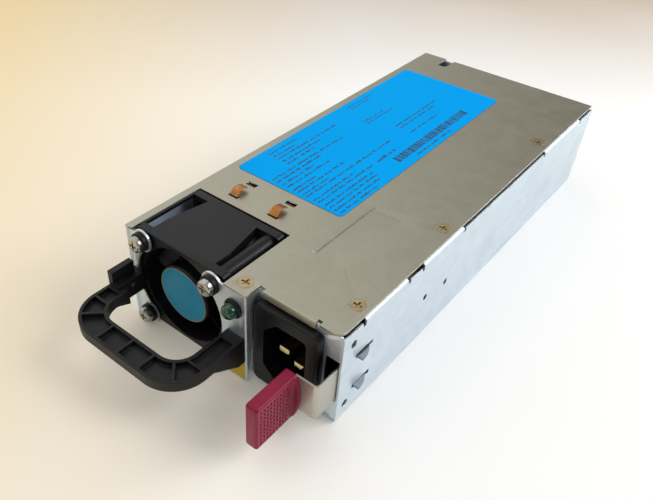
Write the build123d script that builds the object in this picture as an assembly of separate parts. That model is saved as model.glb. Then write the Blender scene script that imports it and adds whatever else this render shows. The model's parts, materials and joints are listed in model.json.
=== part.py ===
from build123d import *
from math import cos, pi, radians, sin, sqrt
import os

os.makedirs("parts", exist_ok=True)

# Hot swap server power supply, 1U class. Millimetres, +Z up.
# The origin is the middle of the case's bottom face. The front looks along -Y.
# Depths are measured from the front plate's outer face, so a depth of 0 lies on that face.

# Case. Its width, length and height follow from what it holds, further down
SHEET = 0.8
BEND_RADIUS = 1.2
LIP_WIDTH = 7.2
LIP_DROP = 0.9
RECESS_DEPTH = 6.0
RELIEF_WIDTH = 1.6
HOOK_OUT = 1.2
HOOK_HEIGHT = 2.6
HOOK_LEVEL = 12.0
FRONT_LIP = (17.0, 40.0)
MIDDLE_LIP = (50.0, 76.0)
REAR_LIP_FROM_REAR = (51.0, 15.0)
TOOL_HOLE_RADIUS = 1.5
UPPER_TOOL_HOLE = 11.5
UPPER_TOOL_HOLE_DROP = 6.3
LOWER_TOOL_HOLE = (10.4, 6.1)

# Rear panel
REAR_FLANGE = 8.0
VENT_RADIUS = 1.7
VENT_PITCH = 4.4
VENT_START = 12.5
VENT_TOP_MARGIN = 5.0
VENT_SIDE_MARGIN = 6.5

# Fan
FAN_LEFT_GAP = 3.6
FAN_PROUD = 0.4
FAN_WIDTH_EXTRA = 0.8
FAN_FLOOR = 0.2
FAN_DEPTH = 29.0
FAN_FLANGE = 3.2
FAN_HOLE_INSET = 4.0
FAN_RIM = 1.4
FAN_TUBE = 3.0
FAN_ARM_LAP = 0.2
FAN_ARM_TAPER = 3.4
FAN_ARM_STRAIGHT = 0.35
FAN_CORNER = 1.4
FAN_RAIL = 0.9
FAN_RAIL_HEIGHT = 1.3
FAN_POCKET_REACH = 1.7
FAN_GAP_SIDE = 0.6
FAN_GAP_BACK = 1.4
BLADE_COUNT = 7
BLADE_CHORD = 15.0
BLADE_THICK = 1.2
BLADE_PITCH = 38.0
BLADE_GAP = 0.8
HUB_RADIUS = 11.2
HUB_WALL = 1.2
HUB_DEPTH = 18.0
HUB_SETBACK = 0.5
HUB_LABEL_EDGE = 0.6
MAGNET_THICK = 1.3
MAGNET_LENGTH = 11.0
SHAFT_RADIUS = 1.0
SHAFT_LENGTH = 21.0
SHAFT_CLEARANCE = 0.03
BEARING_LENGTH = 3.0
BEARING_WALL = 1.8
TUBE_WALL = 1.0
STATOR_LENGTH = 8.0
STATOR_AIR_GAP = 1.3
STATOR_NECK_WALL = 1.17
STRUT_WIDTH = 2.2
STRUT_DEPTH = 3.0
FAN_BOARD_THICK = 1.0
FAN_BOARD_EDGE = 0.6

# Fan fastening
EAR_TOP_RADIUS = 4.2
EAR_BOTTOM_RADIUS = 3.5
FAN_WINDOW_EDGE = 1.7
GROMMET_RADIUS = 3.5
GROMMET_NECK = 2.3
GROMMET_FRONT = 1.6
GROMMET_BACK = 0.8
FAN_SCREW_RADIUS = 1.45
FAN_SCREW_LENGTH = 4.2
FAN_HEAD_RADIUS = 2.9
FAN_HEAD_HEIGHT = 2.3
FAN_RECESS_DEPTH = 0.8
SCREW_CLEARANCE = 0.08
PHILLIPS_WIDTH = 0.7
PHILLIPS_REACH = 0.55

# Front panel
LAMP_ZONE = 10.3
PANEL_FOOT = 0.4
PANEL_TAB_DEPTH = 9.0
FLANGE_RETURN = 14.0
LATCH_WINDOW_BELOW = 0.6
LATCH_WINDOW_ABOVE = 2.6
LATCH_WINDOW_SIDE = 0.5

# Lamp
LAMP_FROM_EDGE = 4.9
LAMP_DROP = 6.8
LENS_RADIUS = 2.7
LENS_LENGTH = 5.0
BEZEL_RADIUS = 3.5
BEZEL_FRONT = 1.2
BEZEL_BACK = 2.0
BEZEL_CLEARANCE = 0.05
BEZEL_WALL = 0.5

# Handle
HANDLE_LEFT_INSET = 1.3
HANDLE_RIGHT_INSET = 0.5
HANDLE_REACH = 30.7
HANDLE_BAR = 8.8
HANDLE_ARM = 7.5
HANDLE_TOP = 20.5
HANDLE_THICK = 3.9
HANDLE_FOOT = 10.5
HANDLE_LEFT_FOOT = 6.0
HANDLE_OUTER_ROUND = 13.0
HANDLE_INNER_ROUND = 7.5
HANDLE_HAUNCH_START = 14.0
HANDLE_HAUNCH_END = 3.0
HANDLE_LEFT_END = 8.9
POCKET_WALL = 1.2
POCKET_DEPTH = 1.7
POCKET_END = 4.0
RIB_THICK = 0.9
RIB_SPACING = 9.6
LUG_DEPTH = 11.0
LUG_WIDTH = 5.1
LUG_RISE = 1.2
LUG_WALL = 2.4
LUG_WALL_RISE = 5.9
LUG_WALL_BACK = 1.7
TAB_LEVEL = 18.6
TAB_HEIGHT = 5.0
TAB_INSET = 1.5
TAB_REACH = 7.0
TAB_SLOT_CLEARANCE = 0.2
HANDLE_PIN_RADIUS = 0.7
HANDLE_PIN_DEPTH = 5.0
HANDLE_PIN_LEVEL = 19.2
HANDLE_SCREW_RADIUS = 1.4
HANDLE_SCREW_LENGTH = 7.0
HANDLE_SCREW_HEAD = 2.6

# Top cover
COVER_NOTCH_INSET = 11.8
COVER_NOTCH_WIDTH = 4.4
COVER_NOTCH_DEPTH = 9.0
COVER_CORNER = 3.0
COVER_RELIEF_WIDTH = 2.2
COVER_SET_BACK = 0.8
COVER_SLIT_INSET = 10.0
COVER_SLIT_WIDTH = 1.6
COVER_SLIT_DEPTH = 1.8
COVER_LIP_START = 2.7
COVER_LIP_HEIGHT = 1.9
COVER_SKIRT_HEIGHT = 6.0
COVER_SKIRT_GAP_BEHIND = 4.0
COVER_SKIRT_GAP = 0.1
PRESSED_START = 2.6
PRESSED_WIDTH = 12.0
PRESSED_DEPTH = (30.0, 64.0)
PRESSED_SINK = 0.4
PANEL_SCREW_INSET = 4.5
PANEL_SCREW_DEPTH = 5.0
SIDE_SCREW_INSET = 5.1
SIDE_SCREW_DEPTHS = (19.3, 69.6)
REAR_SCREW_INSET = 5.6
REAR_SCREW_FROM_REAR = 47.4
COVER_SCREW_RADIUS = 1.45
COVER_SCREW_HEAD = 2.8
COVER_SCREW_LENGTH = 4.6
LABEL_INSET = 3.3
LABEL_WIDTH = 48.2
LABEL_DEPTH = (51.3, 170.6)
LABEL_ROUND = 1.8
LABEL_THICK = 0.15

# Leaf clips
CLIP_LEFT_OF_FAN = 8.3
CLIP_RIGHT_OF_FAN = 10.0
CLIP_WIDTH = 3.5
CLIP_THICK = 0.25
CLIP_GAP_BEHIND = 4.3
CLIP_LENGTH = 9.4
CLIP_RISE = 2.0
CLIP_END_RISE = 1.3
CLIP_ARCH_LENGTH = 5.9
CLIP_SLOT_LENGTH = 4.4
CLIP_SLOT_WIDTH = 1.3
CLIP_REAR_SLOT_EXTRA = 1.0

# Inlet
INLET_SIDE_GAP = 0.3
INLET_BELOW = 1.6
INLET_ABOVE = 3.4
INLET_WIDTH = 16.6
INLET_HEIGHT = 24.6
INLET_CHAMFER = 5.0
INLET_CORNER = 2.0
INLET_SOCKET_DEPTH = 17.0
INLET_WALL = 2.6
INLET_BACK_WALL = 3.5
INLET_RIM_SIDE = 4.3
INLET_RIM_TOP = 4.7
INLET_FLANGE_THICK = 3.2
INLET_FLANGE_ROUND = 2.4
INLET_EDGE_ROUND = 0.9
INLET_FIT = 0.15
PIN_WIDTH = 4.0
PIN_THICK = 2.0
PIN_PITCH = 14.0
PIN_EARTH_OFFSET = 4.0
PIN_ROW_SHIFT = 1.7
PIN_LINE_LENGTH = 11.5
PIN_EARTH_LENGTH = 14.2
PIN_TAIL = 6.0
PIN_TIP = 0.6

# Latch
LATCH_SPACE = 6.6
LATCH_BELOW_MIDDLE = 1.6
LATCH_SHEET = 0.7
LATCH_WALL_GAP = 0.2
LATCH_ARM_HEIGHT = 14.0
LATCH_HEAD_HEIGHT = 14.4
LATCH_HEAD_START = 10.0
LATCH_PIVOT_DEPTH = 50.0
LATCH_REACH = 4.0
LATCH_BEND = 1.6
LATCH_TANG_INSET = 10.9
LATCH_TANG_LENGTH = 11.0
LATCH_TANG_HEIGHT = 11.0
TOOTH_START = 14.0
TOOTH_END = 21.6
TOOTH_OUT = 2.15
TOOTH_TIP = 0.6
TOOTH_SLOT_CLEARANCE = 0.6
TOOTH_SLOT_OUTWARD = 1.2
FOOT_LENGTH = 24.0
FOOT_GAP = 0.1
RIVET_PLACES = [(4.9, 2.7), (19.5, 0.1)]
RIVET_RADIUS = 1.2
RIVET_HEAD_RADIUS = 2.1
RIVET_HEAD_HEIGHT = 0.6
GRIP_LEFT = 2.1
GRIP_RIGHT = 2.5
GRIP_FRONT = 21.8
GRIP_BACK = 4.0
GRIP_DROP = 1.5
GRIP_HEIGHT = 18.2
GRIP_ROUND = 0.8
GRIP_RIM_OUT = 1.8
GRIP_RIM_THICK = 1.5

# Main board
BOARD_Z = 5.2
BOARD_THICK = 1.6
BOARD_SIDE_GAP = 1.6
BOARD_GAP_BEHIND = 5.0
BOARD_BACK_GAP = 0.4
CARD_WIDTH = 56.0
CARD_X = -6.0
CARD_OUT = 7.0
CARD_WINDOW_GAP = 1.0
CONTACT_COUNT = 22
CONTACT_EDGE = 0.5
CONTACT_WIDTH = 1.5
CONTACT_LENGTH = 5.5
CONTACT_THICK = 0.05
STANDOFF_RADIUS = 2.6
STANDOFF_PIN = 1.6
STANDOFF_INSET = 5.0
BOARD_SCREW_RADIUS = 1.2
BOARD_SCREW_LENGTH = 4.5
BOARD_SCREW_HEAD = 2.5
BOARD_SCREW_HEAD_HEIGHT = 1.5
INSULATOR_THICK = 0.3

# Parts on the board
PART_GAP = 3.0
LEFT_MARGIN = 1.1
MIDDLE_GAP = 1.6
RIGHT_GAP = 4.5
BULK_HEADROOM = 3.4
TALL_HEADROOM = 5.4
REAR_SPACE = 27.8
CARD_REAR_SPACE = 11.8
BULK_LENGTH = 46.0
TRANSFORMER_WIDTH = 27.0
TRANSFORMER_LENGTH = 32.0
TRANSFORMER_LEG = 6.0
OUTPUT_CAP_RADIUS = 4.0
OUTPUT_CAP_HEIGHT = 14.0
OUTPUT_CAP_COUNT = 5
HEATSINK_THICK = 3.0
FIN_LENGTH = 5.0
FIN_COUNT = 5
FIN_THICK = 1.0
PRIMARY_SINK_LENGTH = 60.0
SECONDARY_SINK_LENGTH = 42.0
TRANSISTOR_SIZE = (4.4, 10.0, 15.0)
LEG_WIDTH = 0.8
LEG_HEIGHT = 3.5
LEG_PITCH = 2.5
BRIDGE_SIZE = (4.6, 20.0, 17.0)
FILTER_RADIUS = 9.5
FILTER_HEIGHT = 13.0
BOOST_RADIUS = 13.0
BOOST_HEIGHT = 12.0
OUTPUT_CHOKE_RADIUS = 10.5
OUTPUT_CHOKE_HEIGHT = 10.0
WIRE_RADIUS = 0.6
MAINS_CAP_SIZE = (18.0, 8.0, 15.0)
SAFETY_CAP_RADIUS = 3.8
SAFETY_CAP_THICK = 3.0
FUSE_RADIUS = 2.6
FUSE_LENGTH = 20.0
RELAY_SIZE = (12.0, 18.0, 14.0)
CONTROL_BOARD_LENGTH = 36.0
CONTROL_BOARD_HEADROOM = 9.4
CONTROL_BOARD_THICK = 1.2
CONTROL_BOARD_INSET = 3.2
CHIP_SIZE = (1.4, 8.0, 8.0)
CONNECTOR_SIZE = (10.0, 5.0, 6.5)
LEAD_RADIUS = 0.7
MAINS_LEAD_RADIUS = 1.1
LEAD_BEND = 3.0
EARTH_LUG = 0.8

# What follows from the sizes above
INLET_FLANGE_WIDTH = INLET_WIDTH + 2 * INLET_RIM_SIDE
INLET_FLANGE_HEIGHT = INLET_HEIGHT + 2 * INLET_RIM_TOP
CASE_HEIGHT = INLET_BELOW + INLET_FLANGE_HEIGHT + INLET_ABOVE
ROOF = CASE_HEIGHT - SHEET
FAN_HEIGHT = CASE_HEIGHT + FAN_PROUD - FAN_FLOOR
FAN_WIDTH = FAN_HEIGHT + FAN_WIDTH_EXTRA
FAN_PITCH = FAN_WIDTH - 2 * FAN_HOLE_INSET
FAN_BORE = FAN_HEIGHT / 2 - FAN_RIM
FAN_ARM = FAN_PITCH / 2 - FAN_TUBE + FAN_ARM_LAP
FAN_WINDOW = FAN_BORE + FAN_WINDOW_EDGE
CASE_WIDTH = FAN_LEFT_GAP + FAN_WIDTH + LAMP_ZONE + INLET_SIDE_GAP + INLET_FLANGE_WIDTH + LATCH_SPACE
HALF = CASE_WIDTH / 2
INNER = HALF - SHEET
FAN_X = FAN_LEFT_GAP + FAN_WIDTH / 2 - HALF
FAN_Z = FAN_FLOOR + FAN_HEIGHT / 2
FAN_START = SHEET + GROMMET_BACK
FAN_END = FAN_START + FAN_DEPTH
BAY_LEFT = FAN_X - FAN_WIDTH / 2 - FAN_GAP_SIDE
BAY_RIGHT = FAN_X + FAN_WIDTH / 2 + 2 * FAN_GAP_SIDE
BAY_END = FAN_END + FAN_GAP_BACK
PANEL_RIGHT = FAN_X + FAN_WIDTH / 2 + LAMP_ZONE
LAMP_X = PANEL_RIGHT - LAMP_FROM_EDGE
LAMP_Z = ROOF - LAMP_DROP
HANDLE_LEFT = HANDLE_LEFT_INSET - HALF
HANDLE_RIGHT = PANEL_RIGHT - HANDLE_RIGHT_INSET
INLET_X = PANEL_RIGHT + INLET_SIDE_GAP + INLET_FLANGE_WIDTH / 2
INLET_Z = INLET_BELOW + INLET_FLANGE_HEIGHT / 2
LATCH_Z = CASE_HEIGHT / 2 - LATCH_BELOW_MIDDLE
LATCH_X = INNER - LATCH_WALL_GAP
LATCH_TANG_X = HALF - LATCH_TANG_INSET
TOOTH_LEVEL = (LATCH_ARM_HEIGHT - LATCH_SHEET) / 2
RIVETS = [(LATCH_PIVOT_DEPTH + along, LATCH_Z + up) for along, up in RIVET_PLACES]
GRIP_X = (LATCH_TANG_X - GRIP_LEFT, LATCH_TANG_X + GRIP_RIGHT)
GRIP_Z = LATCH_Z - GRIP_DROP
CLIP_FRONT = BAY_END + CLIP_GAP_BEHIND
CLIP_BACK = CLIP_FRONT + CLIP_LENGTH
CLIP_FREE_END = CLIP_FRONT + CLIP_ARCH_LENGTH
CLIP_CENTRES = {"left": FAN_X - CLIP_LEFT_OF_FAN, "right": FAN_X + CLIP_RIGHT_OF_FAN}
COVER_SLIT_X = (HALF - COVER_SLIT_INSET, HALF - COVER_SLIT_INSET + COVER_SLIT_WIDTH)
COVER_LIP_X = (PANEL_RIGHT + COVER_LIP_START, COVER_SLIT_X[0])
COVER_NOTCH_X = (COVER_NOTCH_INSET - HALF, COVER_NOTCH_INSET + COVER_NOTCH_WIDTH - HALF)
PRESSED_X = (PANEL_RIGHT + PRESSED_START, PANEL_RIGHT + PRESSED_START + PRESSED_WIDTH)
COVER_RIGHT = HALF - COVER_SET_BACK
LABEL_X = (LABEL_INSET - HALF, LABEL_INSET + LABEL_WIDTH - HALF)
TOOL_HOLES = [(UPPER_TOOL_HOLE, ROOF - UPPER_TOOL_HOLE_DROP), LOWER_TOOL_HOLE]

# Depths of the parts on the board, one behind the other with PART_GAP between neighbours
BOARD_START = BAY_END + BOARD_GAP_BEHIND
BOARD_TOP = BOARD_Z + BOARD_THICK
BOARD_HALF = INNER - BOARD_SIDE_GAP
BULK_START = BOARD_START + 2 * STANDOFF_INSET + PART_GAP
TRANSFORMER_START = BULK_START + BULK_LENGTH + PART_GAP
OUTPUT_CHOKE_START = TRANSFORMER_START + TRANSFORMER_LENGTH + PART_GAP
SECONDARY_SINK_START = BULK_START + PRIMARY_SINK_LENGTH + PART_GAP
OUTPUT_CHOKE_END = OUTPUT_CHOKE_START + 2 * OUTPUT_CHOKE_RADIUS
OUTPUT_CAP_START = max(OUTPUT_CHOKE_END, SECONDARY_SINK_START + SECONDARY_SINK_LENGTH) + PART_GAP
MAINS_CAP_START = BULK_START + 2 * FILTER_RADIUS + PART_GAP
FUSE_START = MAINS_CAP_START + 2 * MAINS_CAP_SIZE[1] + 2 * PART_GAP
BOOST_START = FUSE_START + max(FUSE_LENGTH, RELAY_SIZE[1]) + PART_GAP
CONTROL_BOARD_START = BOOST_START + 2 * BOOST_RADIUS + PART_GAP
CONTROL_BOARD_END = CONTROL_BOARD_START + CONTROL_BOARD_LENGTH
BOARD_END = max(OUTPUT_CAP_START + 2 * OUTPUT_CAP_RADIUS + REAR_SPACE, CONTROL_BOARD_END + CARD_REAR_SPACE)
CASE_LENGTH = BOARD_END + BOARD_BACK_GAP + SHEET
FRONT = -CASE_LENGTH / 2
REAR_LIP = (CASE_LENGTH - REAR_LIP_FROM_REAR[0], CASE_LENGTH - REAR_LIP_FROM_REAR[1])
RIGHT_LIPS = [FRONT_LIP, MIDDLE_LIP, REAR_LIP]
LEFT_LIPS = [MIDDLE_LIP, REAR_LIP]
PANEL_SCREW = (PANEL_RIGHT - PANEL_SCREW_INSET, PANEL_SCREW_DEPTH)
REAR_SCREW = (HALF - REAR_SCREW_INSET, CASE_LENGTH - REAR_SCREW_FROM_REAR)
COVER_SCREWS = [PANEL_SCREW] + [(HALF - SIDE_SCREW_INSET, at) for at in SIDE_SCREW_DEPTHS] + [REAR_SCREW]

# Heights and columns of the parts on the board
BULK_RADIUS = (ROOF - BOARD_TOP - BULK_HEADROOM) / 2
TALL_HEIGHT = ROOF - BOARD_TOP - TALL_HEADROOM
CONTROL_BOARD_HEIGHT = ROOF - BOARD_TOP - CONTROL_BOARD_HEADROOM
LEFT_COLUMN = LEFT_MARGIN + BULK_RADIUS - BOARD_HALF
MIDDLE_COLUMN = LEFT_COLUMN + BULK_RADIUS + MIDDLE_GAP + TRANSISTOR_SIZE[0] + HEATSINK_THICK / 2
RIGHT_COLUMN = MIDDLE_COLUMN + HEATSINK_THICK / 2 + FIN_LENGTH + RIGHT_GAP + BOOST_RADIUS


def block(x_span, y_span, z_span):
    centre = [(low + high) / 2 for low, high in (x_span, y_span, z_span)]
    sizes = [high - low for low, high in (x_span, y_span, z_span)]
    return Pos(centre[0], FRONT + centre[1], centre[2]) * Box(*sizes)


def rod(radius, axis, span, across):
    # across holds the two other coordinates, in X, depth, Z order
    length = span[1] - span[0]
    middle = (span[0] + span[1]) / 2
    if axis == "x":
        return Pos(middle, FRONT + across[0], across[1]) * Rot(0, 90, 0) * Cylinder(radius, length)
    if axis == "y":
        return Pos(across[0], FRONT + middle, across[1]) * Rot(90, 0, 0) * Cylinder(radius, length)
    return Pos(across[0], FRONT + across[1], middle) * Cylinder(radius, length)


def ring(outer, inner, axis, span, across):
    return rod(outer, axis, span, across) - rod(inner, axis, span, across)


def upright(x_span, z_span, y_span, radius):
    # a block along Y whose four long edges are rounded
    width = x_span[1] - x_span[0]
    height = z_span[1] - z_span[0]
    face = RectangleRounded(width, height, radius)
    solid = extrude(face, amount=y_span[1] - y_span[0])
    place = Pos(sum(x_span) / 2, FRONT + y_span[1], sum(z_span) / 2)
    return place * Rot(90, 0, 0) * solid


def group(pieces):
    return Compound([solid for piece in pieces for solid in piece.solids()])


def phillips(radius, depth, axis, start, across):
    # the cross recess of a screw, cut from start towards its shank
    span = (start, start + depth)
    reach = radius * PHILLIPS_REACH
    half = PHILLIPS_WIDTH / 2
    if axis == "y":
        x, z = across
        flat = block((x - reach, x + reach), span, (z - half, z + half))
        tall = block((x - half, x + half), span, (z - reach, z + reach))
    else:
        x, y = across
        span = (start - depth, start)
        flat = block((x - reach, x + reach), (y - half, y + half), span)
        tall = block((x - half, x + half), (y - reach, y + reach), span)
    return flat + tall


def lead(points, radius):
    # a wire of straight runs with round bends; the points are X, depth, Z
    route = [Vector(x, FRONT + y, z) for x, y, z in points]
    path = FilletPolyline(*route, radius=LEAD_BEND)
    section = Plane(path @ 0, z_dir=path % 0) * Circle(radius)
    return sweep(section, path=path)


def fan_corners():
    half = FAN_PITCH / 2
    return [(FAN_X + sx * half, FAN_Z + sz * half) for sx in (-1, 1) for sz in (-1, 1)]


# Case

def chassis_tray():
    outer = upright((-HALF, HALF), (0, ROOF), (SHEET, CASE_LENGTH), BEND_RADIUS)
    inner = upright((-INNER, INNER), (SHEET, ROOF - SHEET), (0, CASE_LENGTH + 1), BEND_RADIUS - SHEET)
    tray = outer - inner
    lip_edge = INNER - LIP_WIDTH
    tray -= block((-lip_edge, lip_edge), (0, CASE_LENGTH + 1), (ROOF - 2 * SHEET, CASE_HEIGHT))
    for side, lips in ((-1, LEFT_LIPS), (1, RIGHT_LIPS)):
        x_span = sorted((side * (lip_edge - 1), side * (HALF + 1)))
        starts = [0] + [end for start, end in lips]
        ends = [start for start, end in lips] + [CASE_LENGTH + 1]
        for start, end in zip(starts, ends):
            tray -= block(x_span, (start, end), (ROOF - LIP_DROP, CASE_HEIGHT))
            corner_x = sorted((side * (lip_edge - 1), side * INNER))
            tray -= block(corner_x, (start, end), (CASE_HEIGHT / 2, CASE_HEIGHT))
        notch_x = sorted((side * (INNER - 2 * SHEET), side * (HALF + 1)))
        for start, end in lips:
            for at in (start - RELIEF_WIDTH, end):
                notch_z = (ROOF - LIP_DROP - RELIEF_WIDTH, CASE_HEIGHT)
                tray -= block(notch_x, (at, at + RELIEF_WIDTH), notch_z)
    tray -= block((BAY_LEFT, BAY_RIGHT), (0, BAY_END), (-1, SHEET + 1))
    recess_x = PANEL_RIGHT - SHEET
    tray -= block((recess_x, HALF + 1), (0, RECESS_DEPTH), (-1, CASE_HEIGHT))
    for side in (-1, 1):
        low = LATCH_Z + side * TOOTH_LEVEL
        edges = sorted((low - side * TOOTH_SLOT_CLEARANCE, low + side * TOOTH_SLOT_OUTWARD))
        slot_y = (TOOTH_START - TOOTH_SLOT_CLEARANCE, TOOTH_END + 2 * TOOTH_SLOT_CLEARANCE)
        tray -= block((INNER - 1, HALF + 1), slot_y, edges)
    for depth, level in TOOL_HOLES:
        tray -= rod(TOOL_HOLE_RADIUS, "x", (INNER - 1, HALF + 1), (depth, level))
    for place in RIVETS:
        tray -= rod(RIVET_RADIUS, "x", (INNER - 1, HALF + 1), place)
    for x, depth in COVER_SCREWS[1:]:
        hole = COVER_SCREW_RADIUS + SCREW_CLEARANCE
        tray -= rod(hole, "z", (ROOF - 2 * SHEET, CASE_HEIGHT), (x, depth))
    for x, depth in standoff_places():
        tray -= rod(STANDOFF_PIN, "z", (-1, SHEET + 1), (x, depth))
    hook_z = (HOOK_LEVEL - HOOK_HEIGHT / 2, HOOK_LEVEL + HOOK_HEIGHT / 2)
    tray += block((INNER, HALF), (CASE_LENGTH - SHEET, CASE_LENGTH + HOOK_OUT), hook_z)
    tray -= earth_screw_hole()
    return tray


def earth_screw_place():
    return PANEL_RIGHT - SHEET - 4 * SCREW_CLEARANCE - FAN_HEAD_RADIUS, BAY_END


def earth_screw_hole():
    x, depth = earth_screw_place()
    return rod(COVER_SCREW_RADIUS, "z", (-1, SHEET + 1), (x, depth))


def rear_panel():
    back = (CASE_LENGTH - SHEET, CASE_LENGTH)
    panel = upright((-INNER, INNER), (SHEET, ROOF), back, BEND_RADIUS)
    for side in (-1, 1):
        x_span = sorted((side * (INNER - SHEET), side * INNER))
        flange_y = (CASE_LENGTH - REAR_FLANGE, CASE_LENGTH - SHEET)
        panel += block(x_span, flange_y, (2 * SHEET, ROOF - 2 * SHEET))
    window_half = CARD_WIDTH / 2 + CARD_WINDOW_GAP
    window_z = (BOARD_Z - CARD_WINDOW_GAP, BOARD_TOP + CARD_WINDOW_GAP)
    panel -= block((CARD_X - window_half, CARD_X + window_half), (CASE_LENGTH - 2, CASE_LENGTH + 1), window_z)
    row_pitch = VENT_PITCH * sqrt(3) / 2
    rows = int((ROOF - VENT_START - VENT_TOP_MARGIN) / row_pitch) + 1
    widest = int(2 * (INNER - VENT_SIDE_MARGIN) / VENT_PITCH) + 1
    for row in range(rows):
        level = VENT_START + row * row_pitch
        shift = VENT_PITCH / 2 if row % 2 else 0
        for column in range(widest - row % 2):
            x = (column - (widest - 1) / 2) * VENT_PITCH + shift
            panel -= rod(VENT_RADIUS, "y", (CASE_LENGTH - 2, CASE_LENGTH + 1), (x, level))
    return panel


def front_plate(x_span, ear_x):
    plate = block(x_span, (0, SHEET), (PANEL_FOOT, ROOF))
    plate -= rod(FAN_WINDOW, "y", (-1, 2), (FAN_X, FAN_Z))
    for level, radius in ((1, EAR_TOP_RADIUS), (-1, EAR_BOTTOM_RADIUS)):
        z = FAN_Z + level * FAN_PITCH / 2
        plate += rod(radius, "y", (0, SHEET), (ear_x, z))
        plate -= rod(GROMMET_NECK, "y", (-1, 2), (ear_x, z))
    return plate


def front_left_flange():
    ear_x = FAN_X - FAN_PITCH / 2
    flange = front_plate((-HALF, ear_x + EAR_BOTTOM_RADIUS), ear_x)
    flange += block((-INNER, -INNER + SHEET), (SHEET, FLANGE_RETURN), (2 * SHEET, ROOF - 2 * SHEET))
    tab_x = handle_tab_x()
    flange += block(tab_x, (-TAB_REACH, SHEET), handle_tab_z())
    flange -= rod(HANDLE_PIN_RADIUS, "x", (tab_x[0] - 1, tab_x[1] + 1), (-HANDLE_PIN_DEPTH, HANDLE_PIN_LEVEL))
    return flange


def front_panel():
    ear_x = FAN_X + FAN_PITCH / 2
    panel = front_plate((ear_x - EAR_BOTTOM_RADIUS, PANEL_RIGHT), ear_x)
    panel += block((PANEL_RIGHT - SHEET, PANEL_RIGHT), (0, RECESS_DEPTH + SHEET), (SHEET, ROOF))
    recess = (RECESS_DEPTH, RECESS_DEPTH + SHEET)
    inside_tray = upright((-INNER, INNER), (SHEET, ROOF), recess, BEND_RADIUS)
    panel += block((PANEL_RIGHT - SHEET, INNER), recess, (SHEET, ROOF)) & inside_tray
    edge = panel.edges().filter_by(Axis.Z).filter_by_position(Axis.X, PANEL_RIGHT - 0.01, PANEL_RIGHT + 0.01)
    edge = edge.filter_by_position(Axis.Y, FRONT - 0.01, FRONT + 0.01)
    panel = fillet(edge, SHEET * 0.8)
    body = inlet_body_spans(INLET_FIT)
    panel -= upright(body[0], body[1], (RECESS_DEPTH - 1, RECESS_DEPTH + 2), INLET_CORNER)
    latch_x = (INLET_X + INLET_FLANGE_WIDTH / 2 + LATCH_WINDOW_SIDE, INNER + 1)
    latch_y = (RECESS_DEPTH - 1, RECESS_DEPTH + 2)
    latch_half = LATCH_HEAD_HEIGHT / 2
    latch_z = (LATCH_Z - latch_half - LATCH_WINDOW_BELOW, LATCH_Z + latch_half + LATCH_WINDOW_ABOVE)
    panel -= block(latch_x, latch_y, latch_z)
    tab_x = (BAY_RIGHT + SHEET, PANEL_RIGHT - 2 * SHEET)
    panel += block(tab_x, (0, PANEL_TAB_DEPTH), (ROOF - SHEET, ROOF))
    x, depth = COVER_SCREWS[0]
    panel -= rod(COVER_SCREW_RADIUS + SCREW_CLEARANCE, "z", (ROOF - 2, CASE_HEIGHT), (x, depth))
    panel -= rod(LENS_RADIUS + BEZEL_WALL, "y", (-1, 2), (LAMP_X, LAMP_Z))
    x, level = handle_screw_place()
    panel -= rod(HANDLE_SCREW_RADIUS + SCREW_CLEARANCE, "y", (-1, 2), (x, level))
    return panel


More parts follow.
